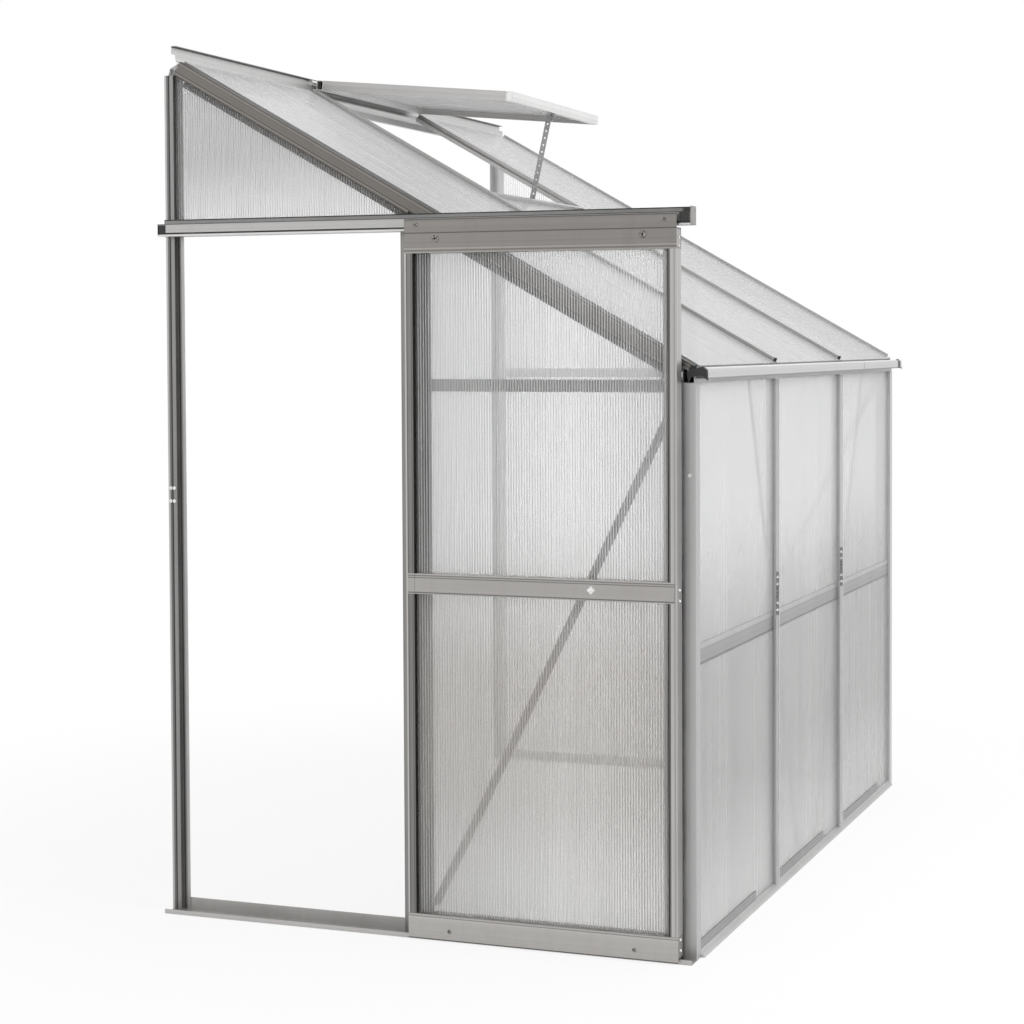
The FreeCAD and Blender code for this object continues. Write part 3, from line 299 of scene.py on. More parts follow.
# %% Group: die lines
die_lines, inlet, outlet = new_group(
    "die_lines", {"Vector": None, "Band Width": 6.0, "Blotches": 0.3},
    ("Tone", "Roughness", "Height"))
long_way = inlet.outputs["Vector"]
per_metre = sums(die_lines, "DIVIDE", 1000.0, inlet.outputs["Band Width"])
across = add(die_lines, "ShaderNodeCombineXYZ", X=0.06, Y=per_metre, Z=per_metre)
squeezed = add(die_lines, "ShaderNodeVectorMath", {"operation": "MULTIPLY"},
               _0=long_way, _1=across.outputs[0])
bands = add(die_lines, "ShaderNodeTexNoise", Vector=squeezed.outputs[0], Scale=1.0,
            Detail=2.0, Roughness=0.6)
brushed = add(die_lines, "ShaderNodeVectorMath", {"operation": "MULTIPLY"},
              _0=long_way, _1=(1.5, 1300.0, 1300.0))
hairlines = add(die_lines, "ShaderNodeTexNoise", Vector=brushed.outputs[0], Scale=1.0,
                Detail=1.0)
clouds = add(die_lines, "ShaderNodeTexNoise", Vector=long_way, Scale=7.0, Detail=4.0,
             Roughness=0.65)
band_tone = span(die_lines, bands.outputs["Fac"], 0.34, 0.66)
cloud_tone = span(die_lines, clouds.outputs["Fac"], 0.32, 0.68)
tone = add(die_lines, "ShaderNodeMix", Factor=inlet.outputs["Blotches"], _2=band_tone,
           _3=cloud_tone).outputs[0]
fine = sums(die_lines, "MULTIPLY_ADD", hairlines.outputs["Fac"], 0.16, -0.08)
die_lines.links.new(sums(die_lines, "ADD", tone, fine), outlet.inputs["Tone"])
rough = sums(die_lines, "MULTIPLY_ADD", hairlines.outputs["Fac"], 0.14, 0.25)
rough = sums(die_lines, "MULTIPLY_ADD", cloud_tone, 0.10, rough)
die_lines.links.new(rough, outlet.inputs["Roughness"])
bumps = sums(die_lines, "MULTIPLY_ADD", bands.outputs["Fac"], 0.7, 0.0)
bumps = sums(die_lines, "MULTIPLY_ADD", hairlines.outputs["Fac"], 0.3, bumps)
die_lines.links.new(bumps, outlet.inputs["Height"])
print("group", die_lines.name, "with", len(die_lines.nodes), "nodes")


# %% [markdown]
# ## Painted lines of shade and highlight along a bar
#
# A pressed-out bar is never a plain box. Its face has shallow grooves, steps and rounded
# lips that run from end to end, and these catch a dark line or a bright one. They are
# finer than the solids, so the lines are painted: painted shade for a groove or a step,
# a painted highlight for a lip. Each is a mask: one at the line's place on the bar, nothing
# a millimetre further. The finish below takes its list of lines with their greys.

# %% Group: painted line of shade or highlight
painted_line, inlet, outlet = new_group(
    "painted_line", {"Across": 0.0, "Place": 0.0, "Width": 0.002}, ("Mask",))
off = sums(painted_line, "SUBTRACT", inlet.outputs["Across"], inlet.outputs["Place"])
off = sums(painted_line, "ABSOLUTE", off)
off = sums(painted_line, "DIVIDE", off, inlet.outputs["Width"])
painted_line.links.new(span(painted_line, off, 0.32, 0.62, 1.0, 0.0), outlet.inputs["Mask"])
print("group", painted_line.name, "with", len(painted_line.nodes), "nodes")


# %% [markdown]
# ## Weather: what rain and soil leave behind
#
# Outdoors the lowest hand's breadth of everything catches splashed soil, and dust
# settles in faint upright runs. This second group puts out two masks, one for the
# splash zone near the ground and one for the runs, and each finish mixes them in as
# strongly as it needs.

# %% Group: weather
weather, inlet, outlet = new_group(
    "weather", {"Vector": None, "Splash Height": 0.14}, ("Splash", "Runs"))
parts_of = add(weather, "ShaderNodeSeparateXYZ", Vector=inlet.outputs["Vector"])
specks = add(weather, "ShaderNodeTexNoise", Vector=inlet.outputs["Vector"], Scale=46.0,
             Detail=5.0, Roughness=0.7)
wobble = sums(weather, "MULTIPLY_ADD", specks.outputs["Fac"], 0.12, parts_of.outputs["Z"])
low_zone = sums(weather, "DIVIDE", wobble, inlet.outputs["Splash Height"])
splash = span(weather, low_zone, 0.35, 1.35, 1.0, 0.0)
weather.links.new(splash, outlet.inputs["Splash"])
drawn = add(weather, "ShaderNodeVectorMath", {"operation": "MULTIPLY"},
            _0=inlet.outputs["Vector"], _1=(38.0, 38.0, 1.6))
runs = add(weather, "ShaderNodeTexNoise", Vector=drawn.outputs[0], Scale=1.0, Detail=4.0,
           Roughness=0.6)
weather.links.new(span(weather, runs.outputs["Fac"], 0.46, 0.76), outlet.inputs["Runs"])
print("group", weather.name, "with", len(weather.nodes), "nodes")


# %% [markdown]
# ## Aluminium finishes
#
# All the bars are the same metal, but their greys carry painted light: a darker, warmer grey
# on the gable, as painted shade where it faces the dim end of the studio, and a cooler,
# lighter one on the side wall, as painted light where the lamp falls. One function therefore
# makes every finish, from a light and a dark grey. Its Mapping node turns the pattern so
# that X lies along the bar; the bars themselves stay as they are.

# %% Aluminium
QUARTER = math.radians(90.0)
VENT_TILT = math.radians(5.43)
BRACE_RISE = math.radians(55.0)
ALONG = {"x": (0.0, 0.0, 0.0), "y": (0.0, 0.0, -QUARTER), "z": (0.0, QUARTER, 0.0),
         "slope": (0.0, -PITCH, 0.0), "vent": (0.0, -VENT_TILT, 0.0),
         "rise": (0.0, BRACE_RISE, 0.0), "side_rise": (BRACE_RISE, 0.0, -QUARTER)}
ORIGIN = {"x": WALL_X * MM, "y": GABLE_Y * MM, "z": 0.0,
          "w": (TO_ROOF.to_3x3().inverted() @ ROOF_START).z}
SOIL = (0.21, 0.185, 0.155, 1.0)
FAR_FROM, FAR_TO, FAR_GREY = 0.2, 0.8, 0.86


def aluminium(name, along, light, dark, warmth=0.0, band=6.0, far_light=0.0, lines=(),
              metal=0.85):
    """Aluminium whose die lines run one way, between a dark and a light grey.

    far_light paints the far half of a piece lighter: painted light where it stands against
    the white of the studio. Each of the lines is (axis, place, width, grey) in millimetres,
    a painted shade or highlight; axis w is off the roof.
    """
    material, tree, shader = new_material(name)
    where = tree.nodes.new("ShaderNodeTexCoord").outputs["Object"]
    turned = add(tree, "ShaderNodeMapping", Vector=where,
                 Rotation=ALONG[along]).outputs[0]
    die = use_group(tree, die_lines, Vector=turned, Band_Width=band, Blotches=0.35)
    age = use_group(tree, weather, Vector=where, Splash_Height=0.10)
    colour = blend_colour(tree, die.outputs["Tone"], grey(dark, warmth),
                          grey(light, warmth))
    axes = add(tree, "ShaderNodeSeparateXYZ", Vector=where)
    off_roof = add(tree, "ShaderNodeSeparateXYZ", Vector=turned).outputs["Z"]
    # Painted shade in the grooves and painted highlights on the lips.
    for axis, place, width, shade in lines:
        across = off_roof if axis == "w" else axes.outputs[axis.upper()]
        mask = use_group(tree, painted_line, Across=across, Place=ORIGIN[axis] + place * MM,
                         Width=width * MM)
        colour = blend_colour(tree, mask.outputs["Mask"], colour, grey(shade, warmth))
    dusty = sums(tree, "MULTIPLY", age.outputs["Runs"], 0.16)
    colour = blend_colour(tree, dusty, colour, grey(dark * 0.8, warmth + 0.05))
    soil = sums(tree, "MULTIPLY", age.outputs["Splash"], 0.07)
    colour = blend_colour(tree, soil, colour, SOIL)
    # Painted light: the far half is blended towards a near-white grey.
    if far_light:
        far_half = span(tree, axes.outputs["Y"], FAR_FROM, FAR_TO, 0.0, far_light)
        colour = blend_colour(tree, far_half, colour, grey(FAR_GREY))
    tree.links.new(colour, shader.inputs["Base Color"])
    rougher = sums(tree, "MULTIPLY_ADD", age.outputs["Splash"], 0.18,
                   die.outputs["Roughness"])
    tree.links.new(rougher, shader.inputs["Roughness"])
    bump = add(tree, "ShaderNodeBump", Strength=0.12, Distance=0.0004,
               Height=die.outputs["Height"])
    tree.links.new(bump.outputs[0], shader.inputs["Normal"])
    shader.inputs["Metallic"].default_value = metal
    return material


print("directions of the die lines:", sorted(ALONG))


# %% [markdown]
# ## The lines on each bar
#
# A rail, a stile and a wall post are told apart by their grooves and lips. Each line below
# gives the axis that crosses it, its place with the tape measure, its width and its grey.
# A line darker than the bar is painted shade in a groove, under a lip or beside a part, and a
# lighter one a painted highlight on a lip that catches the light. They are written down by
# bar, so that a bar can be changed by itself.

# %% Painted shade and highlight lines on each bar
RAIL_LINES = (("z", 1541, 13, 0.24), ("z", 1546, 3.0, 0.05), ("z", 1536.4, 3.0, 0.045),
              ("x", 1223, 28, 0.055), ("z", 1515.2, 4.0, 0.035), ("z", 1510.8, 4.4, 0.62))
HEADER_LINES = (("z", 1532, 3.0, 0.12), ("z", 1503.6, 2.4, 0.105), ("z", 1470.5, 3.6, 0.33),
                ("z", 1466.6, 2.0, 0.17), ("z", 1462.8, 2.6, 0.34))
MID_LINES = (("z", 783.4, 1.8, 0.50), ("z", 780.2, 2.4, 0.20), ("z", 775.6, 2.2, 0.19),
             ("z", 744.2, 2.6, 0.15), ("z", 741.6, 1.6, 0.40))
FOOT_LINES = (("z", 57.2, 1.8, 0.26), ("z", 52.4, 2.2, 0.25), ("z", 49.2, 2.4, 0.50),
              ("z", 4.6, 3.4, 0.10))
JAMB_LINES = (("x", 600, 5.0, 0.50), ("x", 603.6, 1.6, 0.10), ("x", 612, 4.0, 0.36),
              ("x", 633, 3.2, 0.05), ("x", 638, 3.0, 0.30))
LEFT_LINES = (("x", 606.0, 3.6, 0.50), ("x", 609.4, 2.0, 0.13), ("x", 619.4, 2.2, 0.12),
              ("x", 623.4, 2.2, 0.03))
RIGHT_LINES = (("x", 1190.0, 4.2, 0.012), ("x", 1193.6, 2.6, 0.10), ("x", 1204, 2.2, 0.30))
WALL_LINES = (("x", 2.0, 5.0, 0.48), ("x", 7.6, 4.0, 0.15), ("x", 11.2, 3.6, 0.045),
              ("x", 20.0, 3.0, 0.26), ("x", 25.6, 4.4, 0.085), ("x", 33.6, 5.0, 0.42),
              ("x", 37.4, 2.4, 0.52))
RAFTER_LINES = (("w", 1.2, 1.8, 0.05), ("w", -3.4, 2.4, 0.22), ("w", -22.6, 2.0, 0.07),
                ("w", -25.2, 1.6, 0.26), ("w", -30.6, 1.8, 0.05))
BEAM_LINES = (("z", 1896, 4.2, 0.36), ("z", 1890, 2.4, 0.42), ("z", 1929.6, 3.0, 0.22))
GUTTER_LINES = (("z", 1220.4, 2.0, 0.80), ("z", 1198.2, 4.2, 0.26), ("y", 1401, 5.0, 0.22),
                ("y", 1838, 34, 0.016))
STRIP_LINES = (("z", 645, 15, 0.46), ("z", 606, 9, 0.20))
print("lines on the wall post:", len(WALL_LINES))


# %% [markdown]
# ## One finish for each kind of bar
#
# The same function now makes a finish for each kind of bar: first those of the door gable,
# then the far end, the roof, the side wall and the vent. The far posts and the ribs get
# little metal, because a mirror-like bar there would only show the white of the studio.

# %% Finishes of the bars
# The greys below hold painted light and shade as well as tone: darker, warmer greys on the
# gable bars as painted shade, lighter ones on the side wall as painted light. The threshold,
# the corner post and the ribs are lifted further, painted light over faces in shade, and the
# far posts get a near-white grey, painted light, so that their shaded faces read pale.
gable_level = aluminium("aluminium_gable_level", "x", 0.34, 0.27, 0.035, 9.0)
sill_level = aluminium("aluminium_threshold", "x", 0.53, 0.46, 0.02, 9.0)
header_level = aluminium("aluminium_header", "x", 0.255, 0.215, 0.05, 9.0,
                         lines=HEADER_LINES)
mid_level = aluminium("aluminium_mid_rail", "x", 0.42, 0.37, 0.035, 9.0, lines=MID_LINES)
foot_level = aluminium("aluminium_bottom_rail", "x", 0.47, 0.42, 0.03, 9.0,
                       lines=FOOT_LINES)
rail_level = aluminium("aluminium_rail", "x", 0.49, 0.40, 0.012, 7.0, lines=RAIL_LINES)
jamb_upright = aluminium("aluminium_jamb_post", "z", 0.28, 0.20, 0.03, 5.0,
                         lines=JAMB_LINES)
left_upright = aluminium("aluminium_left_stile", "z", 0.235, 0.17, 0.03, 5.0,
                         lines=LEFT_LINES)
right_upright = aluminium("aluminium_right_stile", "z", 0.50, 0.40, 0.02, 5.0,
                          lines=RIGHT_LINES)
wall_upright = aluminium("aluminium_wall_post", "z", 0.30, 0.21, 0.012, 6.0,
                         lines=WALL_LINES)
far_upright = aluminium("aluminium_far_post", "z", 0.90, 0.85, 0.0, 6.0, metal=0.1)
far_level = aluminium("aluminium_far_bar", "x", 0.34, 0.26, 0.02, 6.0)
gable_rafter = aluminium("aluminium_gable_rafter", "slope", 0.165, 0.135, 0.07, 9.0,
                         lines=RAFTER_LINES)
roof_bar = aluminium("aluminium_roof_bar", "slope", 0.54, 0.44, 0.01, 4.0)
corner_upright = aluminium("aluminium_corner_post", "z", 0.50, 0.43, 0.0, 7.0)
side_upright = aluminium("aluminium_side_upright", "z", 0.64, 0.52, 0.0, 7.0)
side_rib = aluminium("aluminium_side_rib", "z", 0.74, 0.64, 0.0, 7.0, metal=0.3)
side_level = aluminium("aluminium_side_level", "y", 0.58, 0.48, 0.0, 8.0)
gutter_level = aluminium("aluminium_gutter", "y", 0.60, 0.53, 0.0, 8.0,
                         lines=GUTTER_LINES)
eave_level = aluminium("aluminium_eave_beam", "y", 0.44, 0.36, 0.0, 8.0)
strip_level = aluminium("aluminium_glazing_strip", "y", 0.37, 0.30, 0.0, 6.0,
                        lines=STRIP_LINES)
wall_beam = aluminium("aluminium_wall_beam", "y", 0.62, 0.53, 0.004, 12.0,
                      lines=BEAM_LINES)
vent_level = aluminium("aluminium_vent_bar", "y", 0.82, 0.70, 0.004, 8.0)
vent_slope = aluminium("aluminium_vent_slope", "vent", 0.50, 0.42, 0.02)
# The braces get painted light on their far half.
brace_rise = aluminium("aluminium_brace", "rise", 0.34, 0.27, 0.02, far_light=0.85)
side_brace_rise = aluminium("aluminium_side_brace", "side_rise", 0.16, 0.12)
print("aluminium finishes:", len([m for m in bpy.data.materials if "aluminium_" in m.name]))


# %% [markdown]
# ## Zinc-plated steel
#
# Bolts, hangers, the joining plates and the perforated stay are steel with a thin zinc
# coat. Zinc freezes in small flat crystals of slightly different brightness. The same
# function gives three tones of it: plated, a dark one, and a pale one for the bolt heads and
# plates, a painted highlight so that they stand out against the aluminium as pale dots.

# %% Plated steel
def zinc_plated(name, dark, light, metal=0.95):
    """Steel with crystals of zinc between a dark and a light grey."""
    material, tree, shader = new_material(name)
    where = tree.nodes.new("ShaderNodeTexCoord").outputs["Object"]
    crystals = add(tree, "ShaderNodeTexVoronoi", Vector=where, Scale=900.0)
    clouds = add(tree, "ShaderNodeTexNoise", Vector=where, Scale=240.0, Detail=4.0)
    flat = sums(tree, "MULTIPLY_ADD", clouds.outputs["Fac"], 0.6,
                crystals.outputs["Distance"])
    colour = blend_colour(tree, span(tree, flat, 0.3, 1.0), grey(dark), grey(light))
    tree.links.new(colour, shader.inputs["Base Color"])
    tree.links.new(span(tree, clouds.outputs["Fac"], 0.3, 0.7, 0.22, 0.40),
                   shader.inputs["Roughness"])
    bump = add(tree, "ShaderNodeBump", Strength=0.1, Distance=0.0002,
               Height=crystals.outputs["Distance"])
    tree.links.new(bump.outputs[0], shader.inputs["Normal"])
    shader.inputs["Metallic"].default_value = metal
    return material


plated_steel = zinc_plated("zinc_plated_steel", 0.30, 0.66)
dark_steel = zinc_plated("dark_zinc_steel", 0.10, 0.42)
# Painted highlight: a pale, barely metallic zinc, so that the heads and plates read as
# glints.
highlight_steel = zinc_plated("zinc_steel_painted_highlight", 0.66, 0.94, metal=0.3)
print("made", plated_steel.name, dark_steel.name, "and", highlight_steel.name)


# %% [markdown]
# ## Black moulded plastic
#
# The gutter ends, the strips at the lower ends of the rafters and the rollers are
# moulded plastic with a fine spark-eroded grain. It isn't pure black: dust lifts it to a
# dark grey, more so on faces that look up.

# %% Black plastic
black_plastic, tree, shader = new_material("black_moulded_plastic")
where = tree.nodes.new("ShaderNodeTexCoord").outputs["Object"]
grain = add(tree, "ShaderNodeTexNoise", Vector=where, Scale=1600.0, Detail=2.0)
dust = add(tree, "ShaderNodeTexNoise", Vector=where, Scale=60.0, Detail=5.0)
way_up = add(tree, "ShaderNodeSeparateXYZ",
             Vector=tree.nodes.new("ShaderNodeNewGeometry").outputs["Normal"])
settled = span(tree, way_up.outputs["Z"], 0.2, 1.0, 0.15, 0.55)
settled = sums(tree, "MULTIPLY", settled, span(tree, dust.outputs["Fac"], 0.35, 0.7))
colour = blend_colour(tree, settled, (0.014, 0.014, 0.015, 1.0), (0.12, 0.115, 0.105, 1.0))
tree.links.new(colour, shader.inputs["Base Color"])
tree.links.new(span(tree, dust.outputs["Fac"], 0.3, 0.7, 0.42, 0.62),
               shader.inputs["Roughness"])
bump = add(tree, "ShaderNodeBump", Strength=0.25, Distance=0.0002,
           Height=grain.outputs["Fac"])
tree.links.new(bump.outputs[0], shader.inputs["Normal"])
print("made", black_plastic.name)


# %% [markdown]
# ## Twin-wall sheet
#
# The glazing is two thin plastic skins with a web between them every few millimetres.
# Light goes through the skins nearly unchanged and is caught by the webs, so a pane
# looks like pale grey glass with fine lines, and bars behind it show as dark hatching.
# This group gives the masks for that: the fine lines, an upright drift in brightness that
# paints highlight streaks, and painted shade that grows from a clear height to a dull one.

# %% Group: painted shade on a pane
pane_shading, inlet, outlet = new_group(
    "pane_shading", {"Vector": None, "Flute": 6.0, "Clear At": 1.02, "Dull At": 0.62},
    ("Line", "Drift", "Dull"))
place = add(pane_shading, "ShaderNodeSeparateXYZ", Vector=inlet.outputs["Vector"])
flute = sums(pane_shading, "MULTIPLY", inlet.outputs["Flute"], MM)
saw = sums(pane_shading, "PINGPONG", place.outputs["X"], sums(pane_shading, "MULTIPLY", flute, 0.5))
saw = sums(pane_shading, "DIVIDE", saw, flute)
pane_shading.links.new(span(pane_shading, saw, 0.0, 0.16, 1.0, 0.0), outlet.inputs["Line"])
stretched = add(pane_shading, "ShaderNodeVectorMath", {"operation": "MULTIPLY"},
                _0=inlet.outputs["Vector"], _1=(26.0, 1.0, 0.7))
drift = add(pane_shading, "ShaderNodeTexNoise", Vector=stretched.outputs[0], Scale=1.0,
            Detail=3.0, Roughness=0.6)
pane_shading.links.new(span(pane_shading, drift.outputs["Fac"], 0.3, 0.7), outlet.inputs["Drift"])
cloud = add(pane_shading, "ShaderNodeTexNoise", Vector=inlet.outputs["Vector"], Scale=2.2,
            Detail=3.0)
edge = sums(pane_shading, "MULTIPLY_ADD", cloud.outputs["Fac"], 0.16, place.outputs["Z"])
shaded = span(pane_shading, edge, inlet.outputs["Clear At"], inlet.outputs["Dull At"])
shaded = sums(pane_shading, "MULTIPLY", shaded,
              span(pane_shading, place.outputs["Z"], 0.0, 0.36, 0.35, 1.0))
pane_shading.links.new(shaded, outlet.inputs["Dull"])
print("group", pane_shading.name, "with", len(pane_shading.nodes), "nodes")


# %% [markdown]
# ## Finishes of the sheets
#
# The skins are the solids that came in, and their Alpha lets most of the light through.
# The webs between them are added further down: they pass some light on, so they get a
# Transmission Weight. Each wall has its own painted shade, because the gable is seen nearly
# head-on and the side wall and the roof at a slant, where a sheet looks denser.

# %% Finishes of the sheets
ACROSS = {"gable": (0.0, 0.0, 0.0), "side": (0.0, 0.0, -QUARTER)}
FLUTE_MM = 6.0
SHEET_SOIL = (0.42, 0.39, 0.34, 1.0)
SKIN_ROUGH, WEB_ROUGH = 0.16, 0.62
WEB_PASSES = 0.65


def twin_wall(name, across, pale, shaded_grey, clear, dull, web=False, clear_at=1.02,
              dull_at=0.62, highlight_streaks=0.28, warmth=0.012):
    """A skin or a web: pale and clear at one height, greyer and duller at another, as painted
    shade.
    """
    material, tree, shader = new_material(name)
    where = tree.nodes.new("ShaderNodeTexCoord").outputs["Object"]
    turned = add(tree, "ShaderNodeMapping", Vector=where,
                 Rotation=ACROSS[across]).outputs[0]
    shading = use_group(tree, pane_shading, Vector=turned, Flute=FLUTE_MM, Clear_At=clear_at,
                     Dull_At=dull_at)
    age = use_group(tree, weather, Vector=where, Splash_Height=0.22)
    # Painted shade: greyer and denser where the shade mask is high.
    colour = blend_colour(tree, shading.outputs["Dull"], grey(pale, -0.002),
                          grey(shaded_grey, warmth))
    # Painted highlight: lighter upright streaks where the drift mask is high.
    highlight_streak = sums(tree, "MULTIPLY", shading.outputs["Drift"], highlight_streaks)
    colour = blend_colour(tree, highlight_streak, colour, grey(0.92))
    soil = sums(tree, "MULTIPLY", age.outputs["Splash"], 0.04)
    colour = blend_colour(tree, soil, colour, SHEET_SOIL)
    tree.links.new(colour, shader.inputs["Base Color"])
    alpha = sums(tree, "MULTIPLY_ADD", shading.outputs["Dull"], dull - clear, clear)
    alpha = sums(tree, "MULTIPLY_ADD", age.outputs["Splash"], 0.04, alpha)
    if not web:
        alpha = sums(tree, "MULTIPLY_ADD", shading.outputs["Drift"], highlight_streaks * 0.18, alpha)
    tree.links.new(alpha, shader.inputs["Alpha"])
    matt = WEB_ROUGH if web else SKIN_ROUGH
    tree.links.new(sums(tree, "MULTIPLY_ADD", shading.outputs["Drift"], 0.12, matt),
                   shader.inputs["Roughness"])
    shader.inputs["Transmission Weight"].default_value = WEB_PASSES if web else 0.0
    bump = add(tree, "ShaderNodeBump", Strength=0.35, Distance=0.0003,
               Height=shading.outputs["Line"])
    tree.links.new(bump.outputs[0], shader.inputs["Normal"])
    shader.inputs["IOR"].default_value = 1.45
    return material


gable_skin = twin_wall("twin_wall_gable", "gable", 0.95, 0.63, 0.03, 0.20, warmth=0.045)
# Painted shade: the triangle darkens towards its top, under the roof.
triangle_skin = twin_wall("twin_wall_triangle", "gable", 0.70, 0.32, 0.10, 0.32,
                          clear_at=1.56, dull_at=1.80)
side_skin = twin_wall("twin_wall_side", "side", 0.66, 0.36, 0.38, 0.64, highlight_streaks=0.12,
                      warmth=0.004)
roof_skin = twin_wall("twin_wall_roof", "side", 0.50, 0.48, 0.66, 0.66, highlight_streaks=0.05,
                      warmth=0.0)
vent_skin = twin_wall("twin_wall_vent", "side", 0.58, 0.55, 0.60, 0.60, highlight_streaks=0.05,
                      warmth=0.0)
far_skin = twin_wall("twin_wall_far", "gable", 0.90, 0.86, 0.06, 0.08)
gable_web = twin_wall("twin_wall_gable_web", "gable", 0.95, 0.84, 0.88, 0.90, web=True,
                      warmth=0.02)
far_web = twin_wall("twin_wall_far_web", "gable", 0.92, 0.90, 0.18, 0.18, web=True)
side_web = twin_wall("twin_wall_side_web", "side", 0.92, 0.84, 0.22, 0.30, web=True)
roof_web = twin_wall("twin_wall_roof_web", "side", 0.94, 0.92, 0.08, 0.10, web=True)
print("sheet finishes:", len([m for m in bpy.data.materials if "twin_wall" in m.name]))


# %% [markdown]
# ## Which bar gets which finish
#
# The table below goes by the way each piece runs, because the die lines follow it. Every
# solid of the greenhouse is in it once, and the count at the end shows that none is left
# with the plain grey that it came in with.

# %% Finishes on the solids
FINISH = {
    sill_level: ("door_end_sill",),
    gable_level: ("door_head_bar",),
    header_level: ("door_header",),
    mid_level: ("door_mid_rail",),
    foot_level: ("door_bottom_rail",),
    rail_level: ("door_rail",),
    jamb_upright: ("door_jamb_post",),
    left_upright: ("door_stile_left",),
    right_upright: ("door_stile_right",),
    wall_upright: ("wall_post_door_end_lower", "wall_post_door_end_upper"),
    far_upright: ("far_end_middle_post", "wall_post_far_end_lower",
                  "wall_post_far_end_upper", "far_end_sill", "far_end_eave_bar"),
    far_level: ("door_end_eave_bar", "door_rail_end_plate"),
    gable_rafter: ("rafter_door_end",),
    roof_bar: ("rafter_1", "rafter_2", "rafter_far_end"),
    corner_upright: ("corner_post_door_end",),
    side_upright: ("corner_post_far_end", "side_bar_1", "side_bar_2"),
    side_level: ("low_side_sill", "vent_cross_bar"),
    gutter_level: ("gutter",),
    eave_level: ("eave_beam",),
    strip_level: ("side_joint_strips", "bottom_glazing_strips"),
    wall_beam: ("ridge_beam",),
    vent_level: ("vent_top_rail", "vent_bottom_rail"),
    vent_slope: ("vent_side_rails",),
    brace_rise: ("gable_braces",),
    side_brace_rise: ("side_braces",),
    plated_steel: ("door_hangers", "door_screws", "stay_peg"),
    highlight_steel: ("frame_bolts", "joining_plates"),
    dark_steel: ("stay_bar", "stay_bracket"),
    black_plastic: ("gutter_end_caps", "rafter_end_caps", "door_roller_left",
                    "door_roller_right"),
    gable_skin: ("door_sheet_lower", "door_sheet_upper", "gable_sheet_fixed"),
    triangle_skin: ("gable_sheet_triangle",),
    far_skin: ("far_sheets_lower", "far_sheets_upper"),
    side_skin: ("side_sheets_lower", "side_sheets_upper"),
    roof_skin: ("roof_sheet_below_vent", "roof_sheets_end_bays"),
    vent_skin: ("vent_sheet",),
}
finished = set()
for material, names in FINISH.items():
    for name in names:
        slots = nodes[name].data.materials
        for number in range(max(1, len(slots))):
            if number < len(slots):
                slots[number] = material
            else:
                slots.append(material)
        finished.add(name)
print("finished", len(finished), "of", len(nodes), "missing", sorted(set(nodes) - finished))


# %% [markdown]
# ## The webs inside the sheets
#
# Between its two skins each sheet has a web every six millimetres. They run up the
# gable and side sheets and down the slope of the roof. A web is a thin plate, so it is one
# cube pressed flat. The roof and the open vent are tilted: their plates are placed in a
# level frame first and then turned with the slope, by the matrix that slab takes.

# %% Helpers for new pieces
def as_piece(name, bm, body, material):
    """Turns a bmesh into a piece that rides on a body."""
    bmesh.ops.recalc_face_normals(bm, faces=bm.faces)
    mesh = bpy.data.meshes.new(name)
    bm.to_mesh(mesh)
    bm.free()
    mesh.materials.append(material)
    piece = bpy.data.objects.new(name, mesh)
    bpy.context.scene.collection.objects.link(piece)
    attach(piece, body)
    return piece


def slab(bm, low, high, turn=Matrix.Identity(4)):
    """A plate between two corners, in metres, then turned; returns its vertices."""
    low, high = Vector(low), Vector(high)
    press = Matrix.Diagonal((*(high - low), 1.0))
    made = bmesh.ops.create_cube(
        bm, size=1.0, matrix=turn @ Matrix.Translation((low + high) / 2) @ press)
    return made["verts"]


# %% [markdown]
# ## Where the sheets are
#
# One node can hold several sheets of a row, so its box alone doesn't tell where each of
# them ends. This helper walks from point to point along the edges of the mesh until it has
# a whole sheet, and measures it. In a turned frame the same walk measures a sloping sheet
# as if it lay flat.

# %% Boxes of the separate solids in a node
def separate_boxes(name, turn=Matrix.Identity(4)):
    """Boxes of the separate solids in a node, measured in a turned frame."""
    bm = bmesh.new()
    bm.from_mesh(nodes[name].data)
    bmesh.ops.remove_doubles(bm, verts=bm.verts, dist=1e-6)
    bm.transform(turn.inverted())
    left = set(bm.verts)
    boxes = []
    while left:
        waiting = [left.pop()]
        island = []
        while waiting:
            vert = waiting.pop()
            island.append(vert.co.copy())
            for edge in vert.link_edges:
                other = edge.other_vert(vert)
                if other in left:
                    left.discard(other)
                    waiting.append(other)
        low = Vector([min(co[axis] for co in island) for axis in range(3)])
        high = Vector([max(co[axis] for co in island) for axis in range(3)])
        boxes.append((low, high))
    bm.free()
    return sorted(boxes, key=lambda box: tuple(box[0]))


print("sheets in the lower row of the side wall:", len(separate_boxes("side_sheets_lower")))


# %% [markdown]
# ## Rows of webs
#
# Each row stands between the skins of its sheet, a little short of both. Where a sheet
# ends along a rafter, its row is made square first, cut by a plane that follows the roof,
# and each cut end is filled again, so that every web stays a closed solid.

